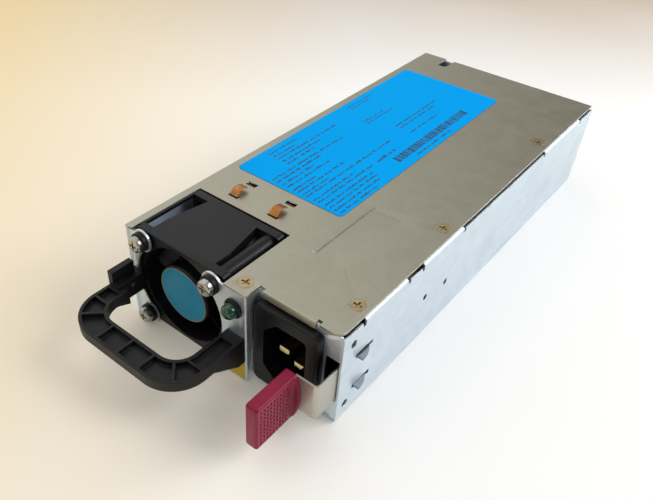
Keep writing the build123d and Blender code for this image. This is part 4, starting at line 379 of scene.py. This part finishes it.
makers = {"sheet": sheetSteel, "metal": bareMetal, "plastic": mouldedPlastic, "wound": woundWire, "board": circuitBoard,
          "ringed": ringedLabel, "spring": springSteel}
finishes = {
    # galvanised: its last colour is painted sheen for the left wall's inner face
    "galvanised": {"maker": "sheet", "colour": rgb(222, 233, 241), "patch": rgb(206, 217, 226), "patchAmount": 0.4,
                   "patchScale": 55.0, "roughness": 0.38, "spread": 0.04, "metallic": 1.0, "flowerScale": 260.0,
                   "flowerColour": rgb(236, 246, 254), "flowerAmount": 0.3, "streakTint": 0.05, "scuff": 0.0,
                   "bump": 0.15, "paintedPocketSheen": rgb(196, 214, 236)},
    "cover_steel": {"maker": "sheet", "colour": rgb(186, 184, 168), "patch": rgb(176, 175, 161), "patchAmount": 0.3,
                    "patchScale": 30.0, "roughness": 0.4, "spread": 0.03, "metallic": 1.0, "flowerScale": 220.0,
                    "flowerColour": rgb(198, 196, 181), "flowerAmount": 0.2, "streakTint": 0.02, "streakGloss": 0.03,
                    "flowerGloss": 0.04, "scuff": 0.03,
                    "bump": 0.12},
    "screw_steel": {"maker": "metal", "colour": rgb(196, 194, 188), "patch": rgb(150, 148, 142), "patchScale": 300.0,
                    "roughness": 0.3, "metallic": 1.0, "edge": 0.00015},
    "cover_screw_steel": {"maker": "metal", "colour": rgb(198, 180, 144), "patch": rgb(168, 146, 106),
                          "patchScale": 350.0, "roughness": 0.36, "metallic": 1.0, "edge": 0.00015},
    # spring_steel: its tooth colour is painted shade on the teeth outside the wall
    "spring_steel": {"maker": "spring", "colour": rgb(192, 189, 178), "patch": rgb(180, 178, 168), "patchScale": 60.0,
                     "grainTint": 0.02, "roughness": 0.42, "metallic": 1.0, "edge": 0.00015, "bump": 0.03,
                     "toothShadeColour": rgb(138, 144, 150)},
    "clip_bronze": {"maker": "metal", "colour": rgb(182, 124, 66), "patch": rgb(150, 94, 44), "patchScale": 250.0,
                    "grainTint": 0.02, "roughness": 0.3, "metallic": 1.0, "edge": 0.0001, "bump": 0.05},
    "label_blue": {"maker": "plastic", "colour": rgb(0, 172, 255), "patch": rgb(0, 164, 250), "patchAmount": 0.5,
                   "patchScale": 18.0, "grainTint": 0.03, "roughness": 0.55, "specular": 0.02, "bump": 0.04, "edge": 0.00005},
    "sticker_yellow": {"maker": "plastic", "colour": rgb(226, 190, 16), "patch": rgb(206, 168, 12),
                       "roughness": 0.45, "bump": 0.05, "edge": 0.00005},
    "label_teal": {"maker": "ringed", "node": "fan_hub_label", "ringColour": rgb(128, 130, 122), "colour": rgb(0, 140, 178), "patch": rgb(0, 130, 166), "patchScale": 120.0,
                   "grainTint": 0.03, "roughness": 0.4, "specular": 0.25, "bump": 0.04, "edge": 0.00005},
    "handle_black": {"maker": "plastic", "colour": rgb(17, 17, 19), "patch": rgb(26, 26, 28), "patchScale": 70.0,
                     "roughness": 0.42, "specular": 0.3, "bump": 0.25, "edge": 0.0004},
    "fan_black": {"maker": "plastic", "colour": rgb(17, 17, 20), "patch": rgb(27, 28, 32), "patchScale": 90.0,
                  "roughness": 0.4, "specular": 0.3, "bump": 0.2, "edge": 0.0003},
    "rubber_black": {"maker": "plastic", "colour": rgb(14, 14, 16), "patch": rgb(24, 24, 26), "roughness": 0.5, "specular": 0.3,
                     "bump": 0.2, "edge": 0.0002},
    "lens_green": {"maker": "plastic", "colour": rgb(0, 66, 42), "patch": rgb(0, 84, 56), "patchScale": 200.0,
                   "patchAmount": 0.3, "grainTint": 0.01, "roughness": 0.12, "specular": 0.3, "coat": 1.0, "coatRoughness": 0.03, "bump": 0.02},
    "inlet_black": {"maker": "plastic", "colour": rgb(9, 11, 15), "patch": rgb(17, 19, 24), "patchScale": 90.0,
                    "roughness": 0.4, "specular": 0.3, "bump": 0.2, "edge": 0.0003},
    "pin_brass": {"maker": "metal", "colour": rgb(238, 222, 174), "patch": rgb(206, 182, 124), "patchScale": 300.0,
                  "grainTint": 0.03, "roughness": 0.28, "metallic": 1.0, "bump": 0.1},
    "grip_maroon": {"maker": "plastic", "colour": rgb(148, 24, 64), "patch": rgb(136, 20, 56), "patchScale": 130.0,
                    "roughness": 0.32, "spread": 0.05, "specular": 0.25, "bump": 0.12, "edge": 0.0003},
    "magnet": {"maker": "metal", "colour": rgb(70, 70, 72), "patch": rgb(50, 50, 52), "roughness": 0.55, "metallic": 0.4},
    "shaft_steel": {"maker": "metal", "colour": rgb(210, 211, 214), "patch": rgb(170, 172, 178), "patchScale": 500.0,
                    "roughness": 0.15, "metallic": 1.0},
    "lamination": {"maker": "wound", "colour": rgb(120, 122, 126), "patch": rgb(90, 92, 96), "gap": rgb(46, 46, 48),
                   "turnScale": 320.0, "turnAxis": "Y", "roughness": 0.45, "metallic": 0.8, "bump": 0.4},
    "copper": {"maker": "wound", "colour": rgb(196, 108, 58), "patch": rgb(164, 82, 40), "gap": rgb(70, 28, 12),
               "turnScale": 260.0, "turnAxis": "DIAGONAL", "roughness": 0.3, "metallic": 0.9, "bump": 0.8,
               "relief": 0.0002},
    "circuit_green": {"maker": "board", "colour": rgb(20, 92, 48), "patch": rgb(12, 66, 34), "track": rgb(34, 116, 62),
                      "roughness": 0.35, "bump": 0.3},
    "contact_gold": {"maker": "metal", "colour": rgb(226, 180, 92), "patch": rgb(200, 150, 66), "roughness": 0.22,
                     "metallic": 1.0},
    "insulator": {"maker": "plastic", "colour": rgb(206, 202, 184), "patch": rgb(188, 184, 164), "roughness": 0.45},
    "wire_black": {"maker": "plastic", "colour": rgb(24, 24, 26), "patch": rgb(38, 38, 40), "roughness": 0.38},
    "wire_red": {"maker": "plastic", "colour": rgb(158, 22, 20), "patch": rgb(132, 16, 16), "roughness": 0.38},
    "wire_green": {"maker": "plastic", "colour": rgb(58, 132, 44), "patch": rgb(196, 190, 40), "patchScale": 260.0,
                   "roughness": 0.38},
    "aluminium": {"maker": "metal", "colour": rgb(198, 201, 206), "patch": rgb(172, 176, 182), "roughness": 0.36,
                  "metallic": 1.0},
    "capacitor_sleeve": {"maker": "plastic", "colour": rgb(26, 28, 44), "patch": rgb(40, 44, 66), "patchScale": 40.0,
                         "roughness": 0.28, "coat": 0.3},
    "ferrite": {"maker": "plastic", "colour": rgb(52, 52, 56), "patch": rgb(72, 72, 76), "roughness": 0.55},
    "film_yellow": {"maker": "plastic", "colour": rgb(206, 166, 40), "patch": rgb(186, 144, 30), "roughness": 0.34},
    "disc_blue": {"maker": "plastic", "colour": rgb(40, 80, 150), "patch": rgb(30, 60, 120), "roughness": 0.34},
    "fuse_glass": {"maker": "plastic", "colour": rgb(206, 214, 212), "patch": rgb(150, 156, 150), "roughness": 0.1,
                   "coat": 1.0},
    "chip_black": {"maker": "plastic", "colour": rgb(30, 30, 32), "patch": rgb(44, 44, 46), "roughness": 0.5},
    "connector_white": {"maker": "plastic", "colour": rgb(222, 218, 202), "patch": rgb(206, 200, 182),
                        "roughness": 0.42},
}
finishes["rivet_dark"] = {"maker": "metal", "colour": rgb(48, 48, 50), "patch": rgb(70, 68, 66), "roughness": 0.45,
                          "metallic": 1.0}
materials = {slot: makers[look["maker"]](slot, look) for slot, look in finishes.items()}
ownFinish = {"latch_rivets": "rivet_dark"}
for nodeName, node in nodes.items():
    node.data.materials.clear()
    node.data.materials.append(materials[ownFinish.get(nodeName, slotOf[nodeName])])
print("finishes:", len(materials))


# CAD shapes as merged copies of their nodes: where a width is given, the flat faces are joined under a Bevel modifier
# for rounded edges; otherwise a Weighted Normal modifier keeps the faces flat

softened = {
    "pull_handle": {"width": 0.5, "segments": 3, "angle": 40},
    "fan_frame": {"width": 0.3, "segments": 2, "angle": 40},
    "inlet_housing": {"width": 0.25, "segments": 2, "angle": 40},
    "fan_screws": {"width": 0.12, "segments": 2, "angle": 40},
    "cover_screws": {"width": 0.08, "segments": 2, "angle": 40},
    "inlet_pins": {"width": 0.12, "segments": 2, "angle": 40},
    "fan_grommets": {"width": 0.15, "segments": 2, "angle": 40},
    "lamp_bezel": {"width": 0.12, "segments": 2, "angle": 40},
    "top_cover": {"width": 0.0, "segments": 1, "angle": 30},
    "chassis_tray": {"width": 0.0, "segments": 1, "angle": 40},
    "front_panel": {"width": 0.0, "segments": 1, "angle": 40},
    "front_left_flange": {"width": 0.0, "segments": 1, "angle": 40},
    "rear_panel": {"width": 0.0, "segments": 1, "angle": 40},
    "latch_spring_arm": {"width": 0.1, "segments": 2, "angle": 40},
    "leaf_clip_left": {"width": 0.0, "segments": 1, "angle": 40},
    "leaf_clip_right": {"width": 0.0, "segments": 1, "angle": 40},
    "fan_hub_label": {"width": 0.0, "segments": 1, "angle": 40},
    "cover_label": {"width": 0.0, "segments": 1, "angle": 40},
    "bulk_capacitor": {"width": 0.4, "segments": 2, "angle": 40},
}


def softenedCopy(nodeName, look):
    mesh = nodes[nodeName].data.copy()
    form = bmesh.new()
    form.from_mesh(mesh)
    bmesh.ops.remove_doubles(form, verts=form.verts, dist=1e-6)
    if look["width"]:
        bmesh.ops.dissolve_limit(form, angle_limit=math.radians(0.5), verts=form.verts, edges=form.edges)
    form.to_mesh(mesh)
    form.free()
    piece = showPiece("soft_" + nodeName, mesh, look["angle"])
    if not look["width"]:
        flat = piece.modifiers.new("flat", "WEIGHTED_NORMAL")
        flat.weight = 100
        flat.keep_sharp = True
    if look["width"]:
        bevel = piece.modifiers.new("edge", "BEVEL")
        bevel.width = look["width"] / 1000
        bevel.segments = look["segments"]
        bevel.limit_method = "ANGLE"
        bevel.angle_limit = math.radians(look["angle"])
        bevel.harden_normals = True
    return standFor(piece, nodeName)


softPieces = {name: softenedCopy(name, look) for name, look in softened.items()}
print("softened copies:", len(softPieces))


def boxOf(node):
    # a node's corners as x, depth and height in mm
    low, high = [np.array(corner) * 1000 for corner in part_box(node)]
    return low - (0, frontY, 0), high - (0, frontY, 0)


# Release grip: a rounded bar with a field of finger dimples, a scoop and a raised rim on its outer face

grip = {"round": 0.9, "rows": 9, "columns": 9, "fieldStart": 1.1, "fieldEnd": 14.0, "fieldInset": 1.4,
        "dimpleDepth": 0.5, "dimpleSize": 0.36, "scoopStart": 14.2, "scoopDip": 0.9, "rimThick": 1.2,
        "rimStep": 0.3}


def roundedLoop(halfWidth, halfHeight, radius, sideSteps, topSteps, cornerSteps):
    # a rounded rectangle run anticlockwise from its lower right: right side, top, left side, bottom
    straight = np.linspace(-1, 1, sideSteps)
    over = np.linspace(-1, 1, topSteps)
    angles = np.linspace(0, np.pi / 2, cornerSteps + 2)[1:-1]
    wide, tall = halfWidth - radius, halfHeight - radius
    runs = [np.stack([np.full(sideSteps, halfWidth), straight * tall], 1)]
    runs += [np.stack([wide + radius * np.cos(angles), tall + radius * np.sin(angles)], 1)]
    runs += [np.stack([-over * wide, np.full(topSteps, halfHeight)], 1)]
    runs += [np.stack([-wide - radius * np.sin(angles), tall + radius * np.cos(angles)], 1)]
    runs += [np.stack([np.full(sideSteps, -halfWidth), -straight * tall], 1)]
    runs += [np.stack([-wide - radius * np.cos(angles), -tall - radius * np.sin(angles)], 1)]
    runs += [np.stack([over * wide, np.full(topSteps, -halfHeight)], 1)]
    runs += [np.stack([wide + radius * np.sin(angles), -tall - radius * np.cos(angles)], 1)]
    return np.concatenate(runs)


def buildGrip():
    # loops along the depth; the first and last shrink to rounded ends, closed by a face each
    low, high = boxOf("latch_grip")
    length = high[1] - low[1]
    rimOut = grip["rimOut"] = high[0] - finishEdge("latch_grip", low)
    halfWidth = (high[0] - rimOut - low[0]) / 2
    halfHeight = (high[2] - low[2]) / 2
    loop = roundedLoop(halfWidth, halfHeight, grip["round"], 131, 9, 5)
    along = np.concatenate([[0, 0.05, 0.2, 0.45, 0.85], np.linspace(1.05, grip["fieldEnd"] + 0.1, 118),
                            np.linspace(grip["fieldEnd"] + 0.2, length - grip["rimThick"], 24),
                            length - grip["rimThick"] * np.array([0.9, 0.5, 0.1, 0.03, 0])])
    ease = np.clip(along / grip["round"], 0, 1)
    shrink = grip["round"] * (1 - np.sqrt(1 - (1 - ease) ** 2))
    x = loop[None, :, 0] * (1 - shrink / halfWidth)[:, None]
    height = loop[None, :, 1] * (1 - shrink / halfHeight)[:, None]
    deep = np.broadcast_to(along[:, None], x.shape)
    outer = smoothStep(loop[:, 0], halfWidth - 0.5, halfWidth)[None, :]
    fieldHeight = 2 * (halfHeight - grip["fieldInset"])
    pitchAlong = (grip["fieldEnd"] - grip["fieldStart"]) / grip["rows"]
    pitchUp = fieldHeight / grip["columns"]
    cellAlong = (deep - grip["fieldStart"]) / pitchAlong
    cellUp = (height + fieldHeight / 2) / pitchUp
    inside = (cellAlong > 0) & (cellAlong < grip["rows"]) & (cellUp > 0) & (cellUp < grip["columns"])
    reach = np.hypot((cellAlong % 1 - 0.5), (cellUp % 1 - 0.5)) / grip["dimpleSize"]
    dimple = inside * np.sqrt(np.clip(1 - reach ** 2, 0, 1)) * grip["dimpleDepth"]
    toRim = np.clip((deep - grip["scoopStart"]) / (length - grip["rimThick"] - grip["scoopStart"]), 0, 1)
    arc = np.clip(1 - (height / halfHeight) ** 2, 0, 1)
    rimStart = length - grip["rimThick"]
    rise = 0.3 * toRim ** 2 + 0.7 * smoothStep(deep, rimStart - grip["rimStep"], rimStart)
    scoop = grip["scoopDip"] * np.sin(np.pi * toRim) * arc - rimOut * arc * rise
    x = x - outer * (dimple + scoop)
    points = toMetres(low[0] + halfWidth + x, low[1] + deep, (low[2] + high[2]) / 2 + height)
    rows, columns = x.shape
    faces = gridFaces(rows, columns, True).tolist()
    faces += [list(range(columns))[::-1], list(range((rows - 1) * columns, rows * columns))]
    return standFor(makePiece("releaseGrip", points, faces, materials["grip_maroon"], 50), "latch_grip")


def finishEdge(node, low):
    # the flat outer face of the grip: how far its front end reaches in x
    points = np.empty(len(nodes[node].data.vertices) * 3)
    nodes[node].data.vertices.foreach_get("co", points)
    points = points.reshape(-1, 3) * 1000
    return points[points[:, 1] - frontY < low[1] + 2, 0].max()


# Fan wheel: a cup-shaped hub turned from its profile, and twisted blades

wheel = {"hubRadius": 11.2, "hubWall": 1.2, "hubRound": 1.1, "blades": 7, "chord": 14.5, "thick": 1.3,
         "pitchHub": 48.0, "pitchTip": 33.0, "camber": 1.5, "front": 2.2}


def turnedSurface(profile, centre, steps):
    # profile of radius and depth, turned about the depth axis through the centre
    angles = np.linspace(0, 2 * np.pi, steps, endpoint=False)
    radius, depth = profile[:, 0][:, None], profile[:, 1][:, None]
    return toMetres(centre[0] + radius * np.sin(angles), depth + 0 * angles, centre[1] + radius * np.cos(angles))


def buildWheel():
    low, high = boxOf("fan_rotor")
    centre = ((low[0] + high[0]) / 2, (low[2] + high[2]) / 2)
    tip = (high[0] - low[0]) / 2
    start, end = low[1], high[1]
    bend = np.linspace(0, np.pi / 2, 7)
    outer, inner, edge = wheel["hubRadius"], wheel["hubRadius"] - wheel["hubWall"], wheel["hubRound"]
    profile = np.concatenate([
        [[0.001, start]], np.stack([outer - edge + edge * np.sin(bend), start + edge - edge * np.cos(bend)], 1),
        [[outer, end - 0.3], [outer - 0.3, end], [inner + 0.2, end], [inner, end - 0.3],
         [inner, start + wheel["hubWall"]], [0.001, start + wheel["hubWall"]]]])
    hub = turnedSurface(profile, centre, 72)
    faces = [gridFaces(len(profile), 72, True)]
    points = [hub.reshape(-1, 3)]
    count = len(points[0])
    radial = np.linspace(inner + 0.3, tip, 14)
    chordwise = np.linspace(-1, 1, 15)
    section = np.concatenate([chordwise, chordwise[::-1]])
    side = np.concatenate([np.ones(15), -np.ones(15)])
    pitch = np.radians(np.interp(radial, [inner, tip], [wheel["pitchHub"], wheel["pitchTip"]]))[:, None]
    halfChord = wheel["chord"] / 2 * np.interp(radial, [inner, tip], [0.9, 1.25])[:, None]
    thick = wheel["thick"] / 2 * np.sqrt(np.clip(1 - section ** 2, 0.02, 1)) * side
    lift = wheel["camber"] * (1 - section ** 2) + thick
    across = halfChord * section * np.cos(pitch) - lift * np.sin(pitch)
    axial = halfChord * section * np.sin(pitch) + lift * np.cos(pitch)
    axial = np.clip(axial + (start + end) / 2, start + wheel["front"], end - 0.4)
    for number in range(wheel["blades"]):
        angle = across / radial[:, None] + 2 * np.pi * number / wheel["blades"]
        x = centre[0] + radial[:, None] * np.sin(angle)
        height = centre[1] + radial[:, None] * np.cos(angle)
        points.append(toMetres(x, axial, height).reshape(-1, 3))
        faces.append(gridFaces(14, 30, True, count))
        rim = np.arange(30) + count + 13 * 30
        root = np.arange(30)[::-1] + count
        faces.append(np.stack([rim[:14], rim[1:15], rim[::-1][:15][1:], rim[::-1][:15][:-1]], 1))
        faces.append(np.stack([root[:14], root[1:15], root[::-1][:15][1:], root[::-1][:15][:-1]], 1))
        count += 14 * 30
    allFaces = np.concatenate(faces)
    return standFor(makePiece("fanWheel", np.concatenate(points), allFaces, materials["fan_black"], 40), "fan_rotor")


# Lamp: a clear dome on a short barrel, turned from its profile

def buildLens():
    low, high = boxOf("lamp_lens")
    centre = ((low[0] + high[0]) / 2, (low[2] + high[2]) / 2)
    radius = (high[0] - low[0]) / 2
    bend = np.linspace(0.001, np.pi / 2, 14)
    dome = np.stack([radius * np.sin(bend), low[1] + radius - radius * np.cos(bend)], 1)
    profile = np.concatenate([dome, [[radius, high[1] - 0.2], [radius - 0.2, high[1]], [0.001, high[1]]]])
    points = turnedSurface(profile, centre, 48)
    piece = makePiece("lampDome", points, gridFaces(len(profile), 48, True), materials["lens_green"], 50)
    return standFor(piece, "lamp_lens")


# Label print: rows of plain bars where the real label has its text, one bar for each word, cut into short strokes

printLook = {"lift": 0.02, "stroke": 0.62, "gap": 0.3, "wordGap": 1.0, "height": 1.0,
             "inkColour": rgb(22, 52, 84), "seed": 7}
printRows = [  # x of the row, depth where it starts and ends, height of its bars
    (-36.6, 64.8, 81.7, 1.0), (-34.1, 64.8, 78.9, 1.0), (-31.9, 64.8, 101.7, 1.0), (-29.4, 64.8, 88.3, 1.0),
    (-27.1, 64.8, 83.9, 1.0), (-23.9, 52.2, 95.6, 1.0), (-21.7, 52.2, 78.9, 1.0), (-19.2, 52.2, 71.0, 1.0),
    (-16.8, 52.2, 77.8, 1.0), (-13.9, 52.2, 65.6, 1.0), (-12.0, 52.2, 80.6, 1.0), (-9.7, 52.2, 68.0, 1.0),
    (-7.9, 52.2, 106.7, 1.0), (-4.6, 52.2, 75.6, 1.0), (-2.6, 52.2, 86.0, 1.0), (-2.6, 89.4, 102.2, 1.5),
    (0.2, 52.2, 82.4, 1.0), (2.3, 52.2, 82.4, 1.0), (4.6, 52.2, 79.8, 1.0), (6.8, 52.2, 76.1, 1.0),
    (6.1, 104.4, 132.0, 0.9), (-37.0, 118.0, 136.0, 0.8), (-35.2, 118.0, 133.0, 0.8), (-24.5, 112.0, 128.0, 0.8),
    (-22.6, 112.0, 131.0, 0.8), (-12.5, 118.0, 150.0, 0.9), (-10.4, 118.0, 146.0, 0.9), (-5.2, 118.0, 140.0, 0.9),
]
stripes = {"start": 95.0, "end": 149.4, "low": 0.6, "high": 4.3}


def buildPrint():
    # every stroke is one flat four-sided face just above the label
    chance = np.random.default_rng(printLook["seed"])
    height = boxOf("cover_label")[1][2] + printLook["lift"]
    strokes = []
    for x, start, end, tall in printRows:
        at = start
        while at < end - 1:
            word = min(at + chance.uniform(2.0, 7.5), end)
            while at < word - 0.2:
                long = printLook["stroke"] * chance.uniform(0.6, 1.2)
                rise = tall * chance.choice([0.62, 0.62, 1.0])
                strokes.append((x + tall / 2 - rise, x + tall / 2, at, min(at + long, word)))
                at += long + printLook["gap"]
            at = word + printLook["wordGap"]
    at = stripes["start"]
    while at < stripes["end"]:
        long = chance.choice([0.25, 0.25, 0.5, 0.75])
        strokes.append((stripes["low"], stripes["high"], at, at + long))
        at += long + chance.choice([0.25, 0.5])
    box = np.array(strokes)
    x = box[:, [0, 1, 1, 0]]
    depth = box[:, [2, 2, 3, 3]]
    points = toMetres(x, depth, height)
    faces = np.arange(len(box) * 4).reshape(-1, 4)
    ink = mouldedPlastic("print_ink", {"colour": printLook["inkColour"], "patch": rgb(16, 40, 66), "roughness": 0.5,
                                       "bump": 0.05, "edge": 0.00001})
    mesh = bpy.data.meshes.new("labelPrint")
    mesh.from_pydata(points.reshape(-1, 3).tolist(), [], faces.tolist())
    mesh.materials.append(ink)
    piece = showPiece("labelPrint", mesh, 30)
    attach(piece, bodyOf["cover_label"])
    return piece


buildGrip()
buildWheel()
buildLens()
buildPrint()
print("grip, fan wheel, lamp and label print made")

# Floor, lights and camera

# floor colours: white, a cream that is painted warm light, and a tan that is painted shade
stageLook = {"white": rgb(247, 247, 246), "cream": rgb(250, 226, 176), "tan": rgb(166, 134, 88), "size": 5.0,
             "lift": 0.14}


def buildFloor():
    size = stageLook["size"]
    corners = np.array([[-size, -size, 0], [size, -size, 0], [size, size, 0], [-size, size, 0]]) / 2
    mesh = bpy.data.meshes.new("floor")
    mesh.from_pydata(corners.tolist(), [], [(0, 1, 2, 3)])
    floor = bpy.data.objects.new("floor", mesh)
    bpy.context.scene.collection.objects.link(floor)
    material, tree, coords = openMaterial("floor")
    turned = addNode(tree, "SeparateXYZ", {"Vector": stretched(tree, coords, (1, 1, 1), (0, 0, math.radians(-38)))})
    rightward, away = turned.outputs[0], turned.outputs[1]
    nearby = spread(tree, addNode(tree, "VectorMath", {"Vector": coords}, operation="LENGTH").outputs["Value"],
                    0.45, 1.1, 1.0, 0.0)
    # painted light and shade on the floor near the object: cream warm light to the left, darker tan shade far to the
    # right, broken up by noise
    paintedWarmLightLeft = mathNode(tree, "MULTIPLY", spread(tree, rightward, 0.0, -0.26, 0.0, 1.0), nearby)
    paintedShadeFar = mathNode(tree, "MULTIPLY", spread(tree, away, 0.12, 0.36), spread(tree, rightward, -0.3, 0.12))
    cloud = addNode(tree, "TexNoise", {"Vector": coords, "Scale": 3.0, "Detail": 2.0})
    paintedShadeFar = mathNode(tree, "MULTIPLY", paintedShadeFar, spread(tree, cloud.outputs["Fac"], 0.3, 0.7, 0.6, 1.0))
    paintedShadeFar = mathNode(tree, "MULTIPLY", paintedShadeFar, nearby)
    colour = mixColour(tree, paintedWarmLightLeft, stageLook["white"], stageLook["cream"])
    colour = mixColour(tree, paintedShadeFar, colour, stageLook["tan"])
    plain = addNode(tree, "BsdfDiffuse", {"Color": colour})
    rays = addNode(tree, "LightPath")
    seen = mathNode(tree, "MAXIMUM", rays.outputs["Is Camera Ray"],
                    mathNode(tree, "MAXIMUM", rays.outputs["Is Glossy Ray"], rays.outputs["Is Transmission Ray"]))
    glow = addNode(tree, "Emission", {"Color": colour, "Strength": mathNode(tree, "MULTIPLY", seen, stageLook["lift"])})
    both = addNode(tree, "AddShader")
    tree.links.new(plain.outputs[0], both.inputs[0])
    tree.links.new(glow.outputs[0], both.inputs[1])
    tree.links.new(both.outputs[0], addNode(tree, "OutputMaterial").inputs["Surface"])
    mesh.materials.append(material)


lamps = [
    {"name": "windowRight", "place": (0.85, 0.45, 0.85), "aim": (0, 0, 0.02), "size": 0.7, "power": 7.0},
    {"name": "windowLow", "place": (0.75, 1.15, 0.48), "aim": (0, 0, 0.02), "size": 0.6, "power": 9.0,
     "colour": rgb(228, 236, 248)},
    {"name": "softTop", "place": (-0.1, -0.1, 1.3), "aim": (0, 0, 0), "size": 1.2, "power": 1.5},
    {"name": "frontFill", "place": (0.1, -1.1, 0.5), "aim": (0, 0, 0.02), "size": 0.8, "power": 1.5},
]


def buildLight():
    # a pale room, brightest on the left and overhead, so that sheet metal shows a gradient
    world = bpy.data.worlds.new("studio")
    bpy.context.scene.world = world
    world.use_nodes = True
    tree = world.node_tree
    tree.nodes.clear()
    rays = addNode(tree, "LightPath")
    aim = addNode(tree, "SeparateXYZ", {"Vector": addNode(tree, "TexCoord").outputs["Generated"]}).outputs
    side = mathNode(tree, "MULTIPLY_ADD", aim[2], 0.6, mathNode(tree, "MULTIPLY", aim[0], -1.0))
    tone = mixColour(tree, spread(tree, side, 0.4, 0.92), rgb(112, 107, 97), rgb(255, 253, 249))
    ambient = addNode(tree, "Background", {"Color": tone, "Strength": 0.95})
    seenWhite = addNode(tree, "Background", {"Color": rgb(252, 252, 252), "Strength": 1.0})
    choose = addNode(tree, "MixShader", {"Fac": rays.outputs["Is Camera Ray"]})
    tree.links.new(ambient.outputs[0], choose.inputs[1])
    tree.links.new(seenWhite.outputs[0], choose.inputs[2])
    tree.links.new(choose.outputs[0], addNode(tree, "OutputWorld").inputs["Surface"])
    for lamp in lamps:
        light = bpy.data.lights.new(lamp["name"], "AREA")
        light.energy = lamp["power"]
        light.size = lamp["size"]
        light.color = lamp.get("colour", (1, 1, 1))[:3]
        holder = bpy.data.objects.new(lamp["name"], light)
        bpy.context.scene.collection.objects.link(holder)
        toLamp = np.array(lamp["place"]) - np.array(lamp["aim"])
        flat = math.hypot(toLamp[0], toLamp[1])
        holder.location = lamp["place"]
        holder.rotation_euler = (math.atan2(flat, toLamp[2]), 0, math.atan2(toLamp[1], toLamp[0]) + math.pi / 2)


viewpoint = {"place": (0.11029, -0.20531, 0.17415), "turn": (49.1157, -1.6347, 39.6815), "lens": 37.1275,
             "shiftX": 0.0645, "shiftY": 0.0400}


def buildCamera():
    eye = bpy.data.cameras.new("photoView")
    eye.sensor_width = 36
    eye.lens = viewpoint["lens"]
    eye.shift_x = viewpoint["shiftX"]
    eye.shift_y = viewpoint["shiftY"]
    eye.clip_start = 0.01
    holder = bpy.data.objects.new("photoView", eye)
    bpy.context.scene.collection.objects.link(holder)
    holder.location = viewpoint["place"]
    holder.rotation_euler = [math.radians(angle) for angle in viewpoint["turn"]]
    bpy.context.scene.camera = holder


buildFloor()
buildLight()
buildCamera()
bpy.context.scene.view_settings.view_transform = "Standard"
print("stage ready")
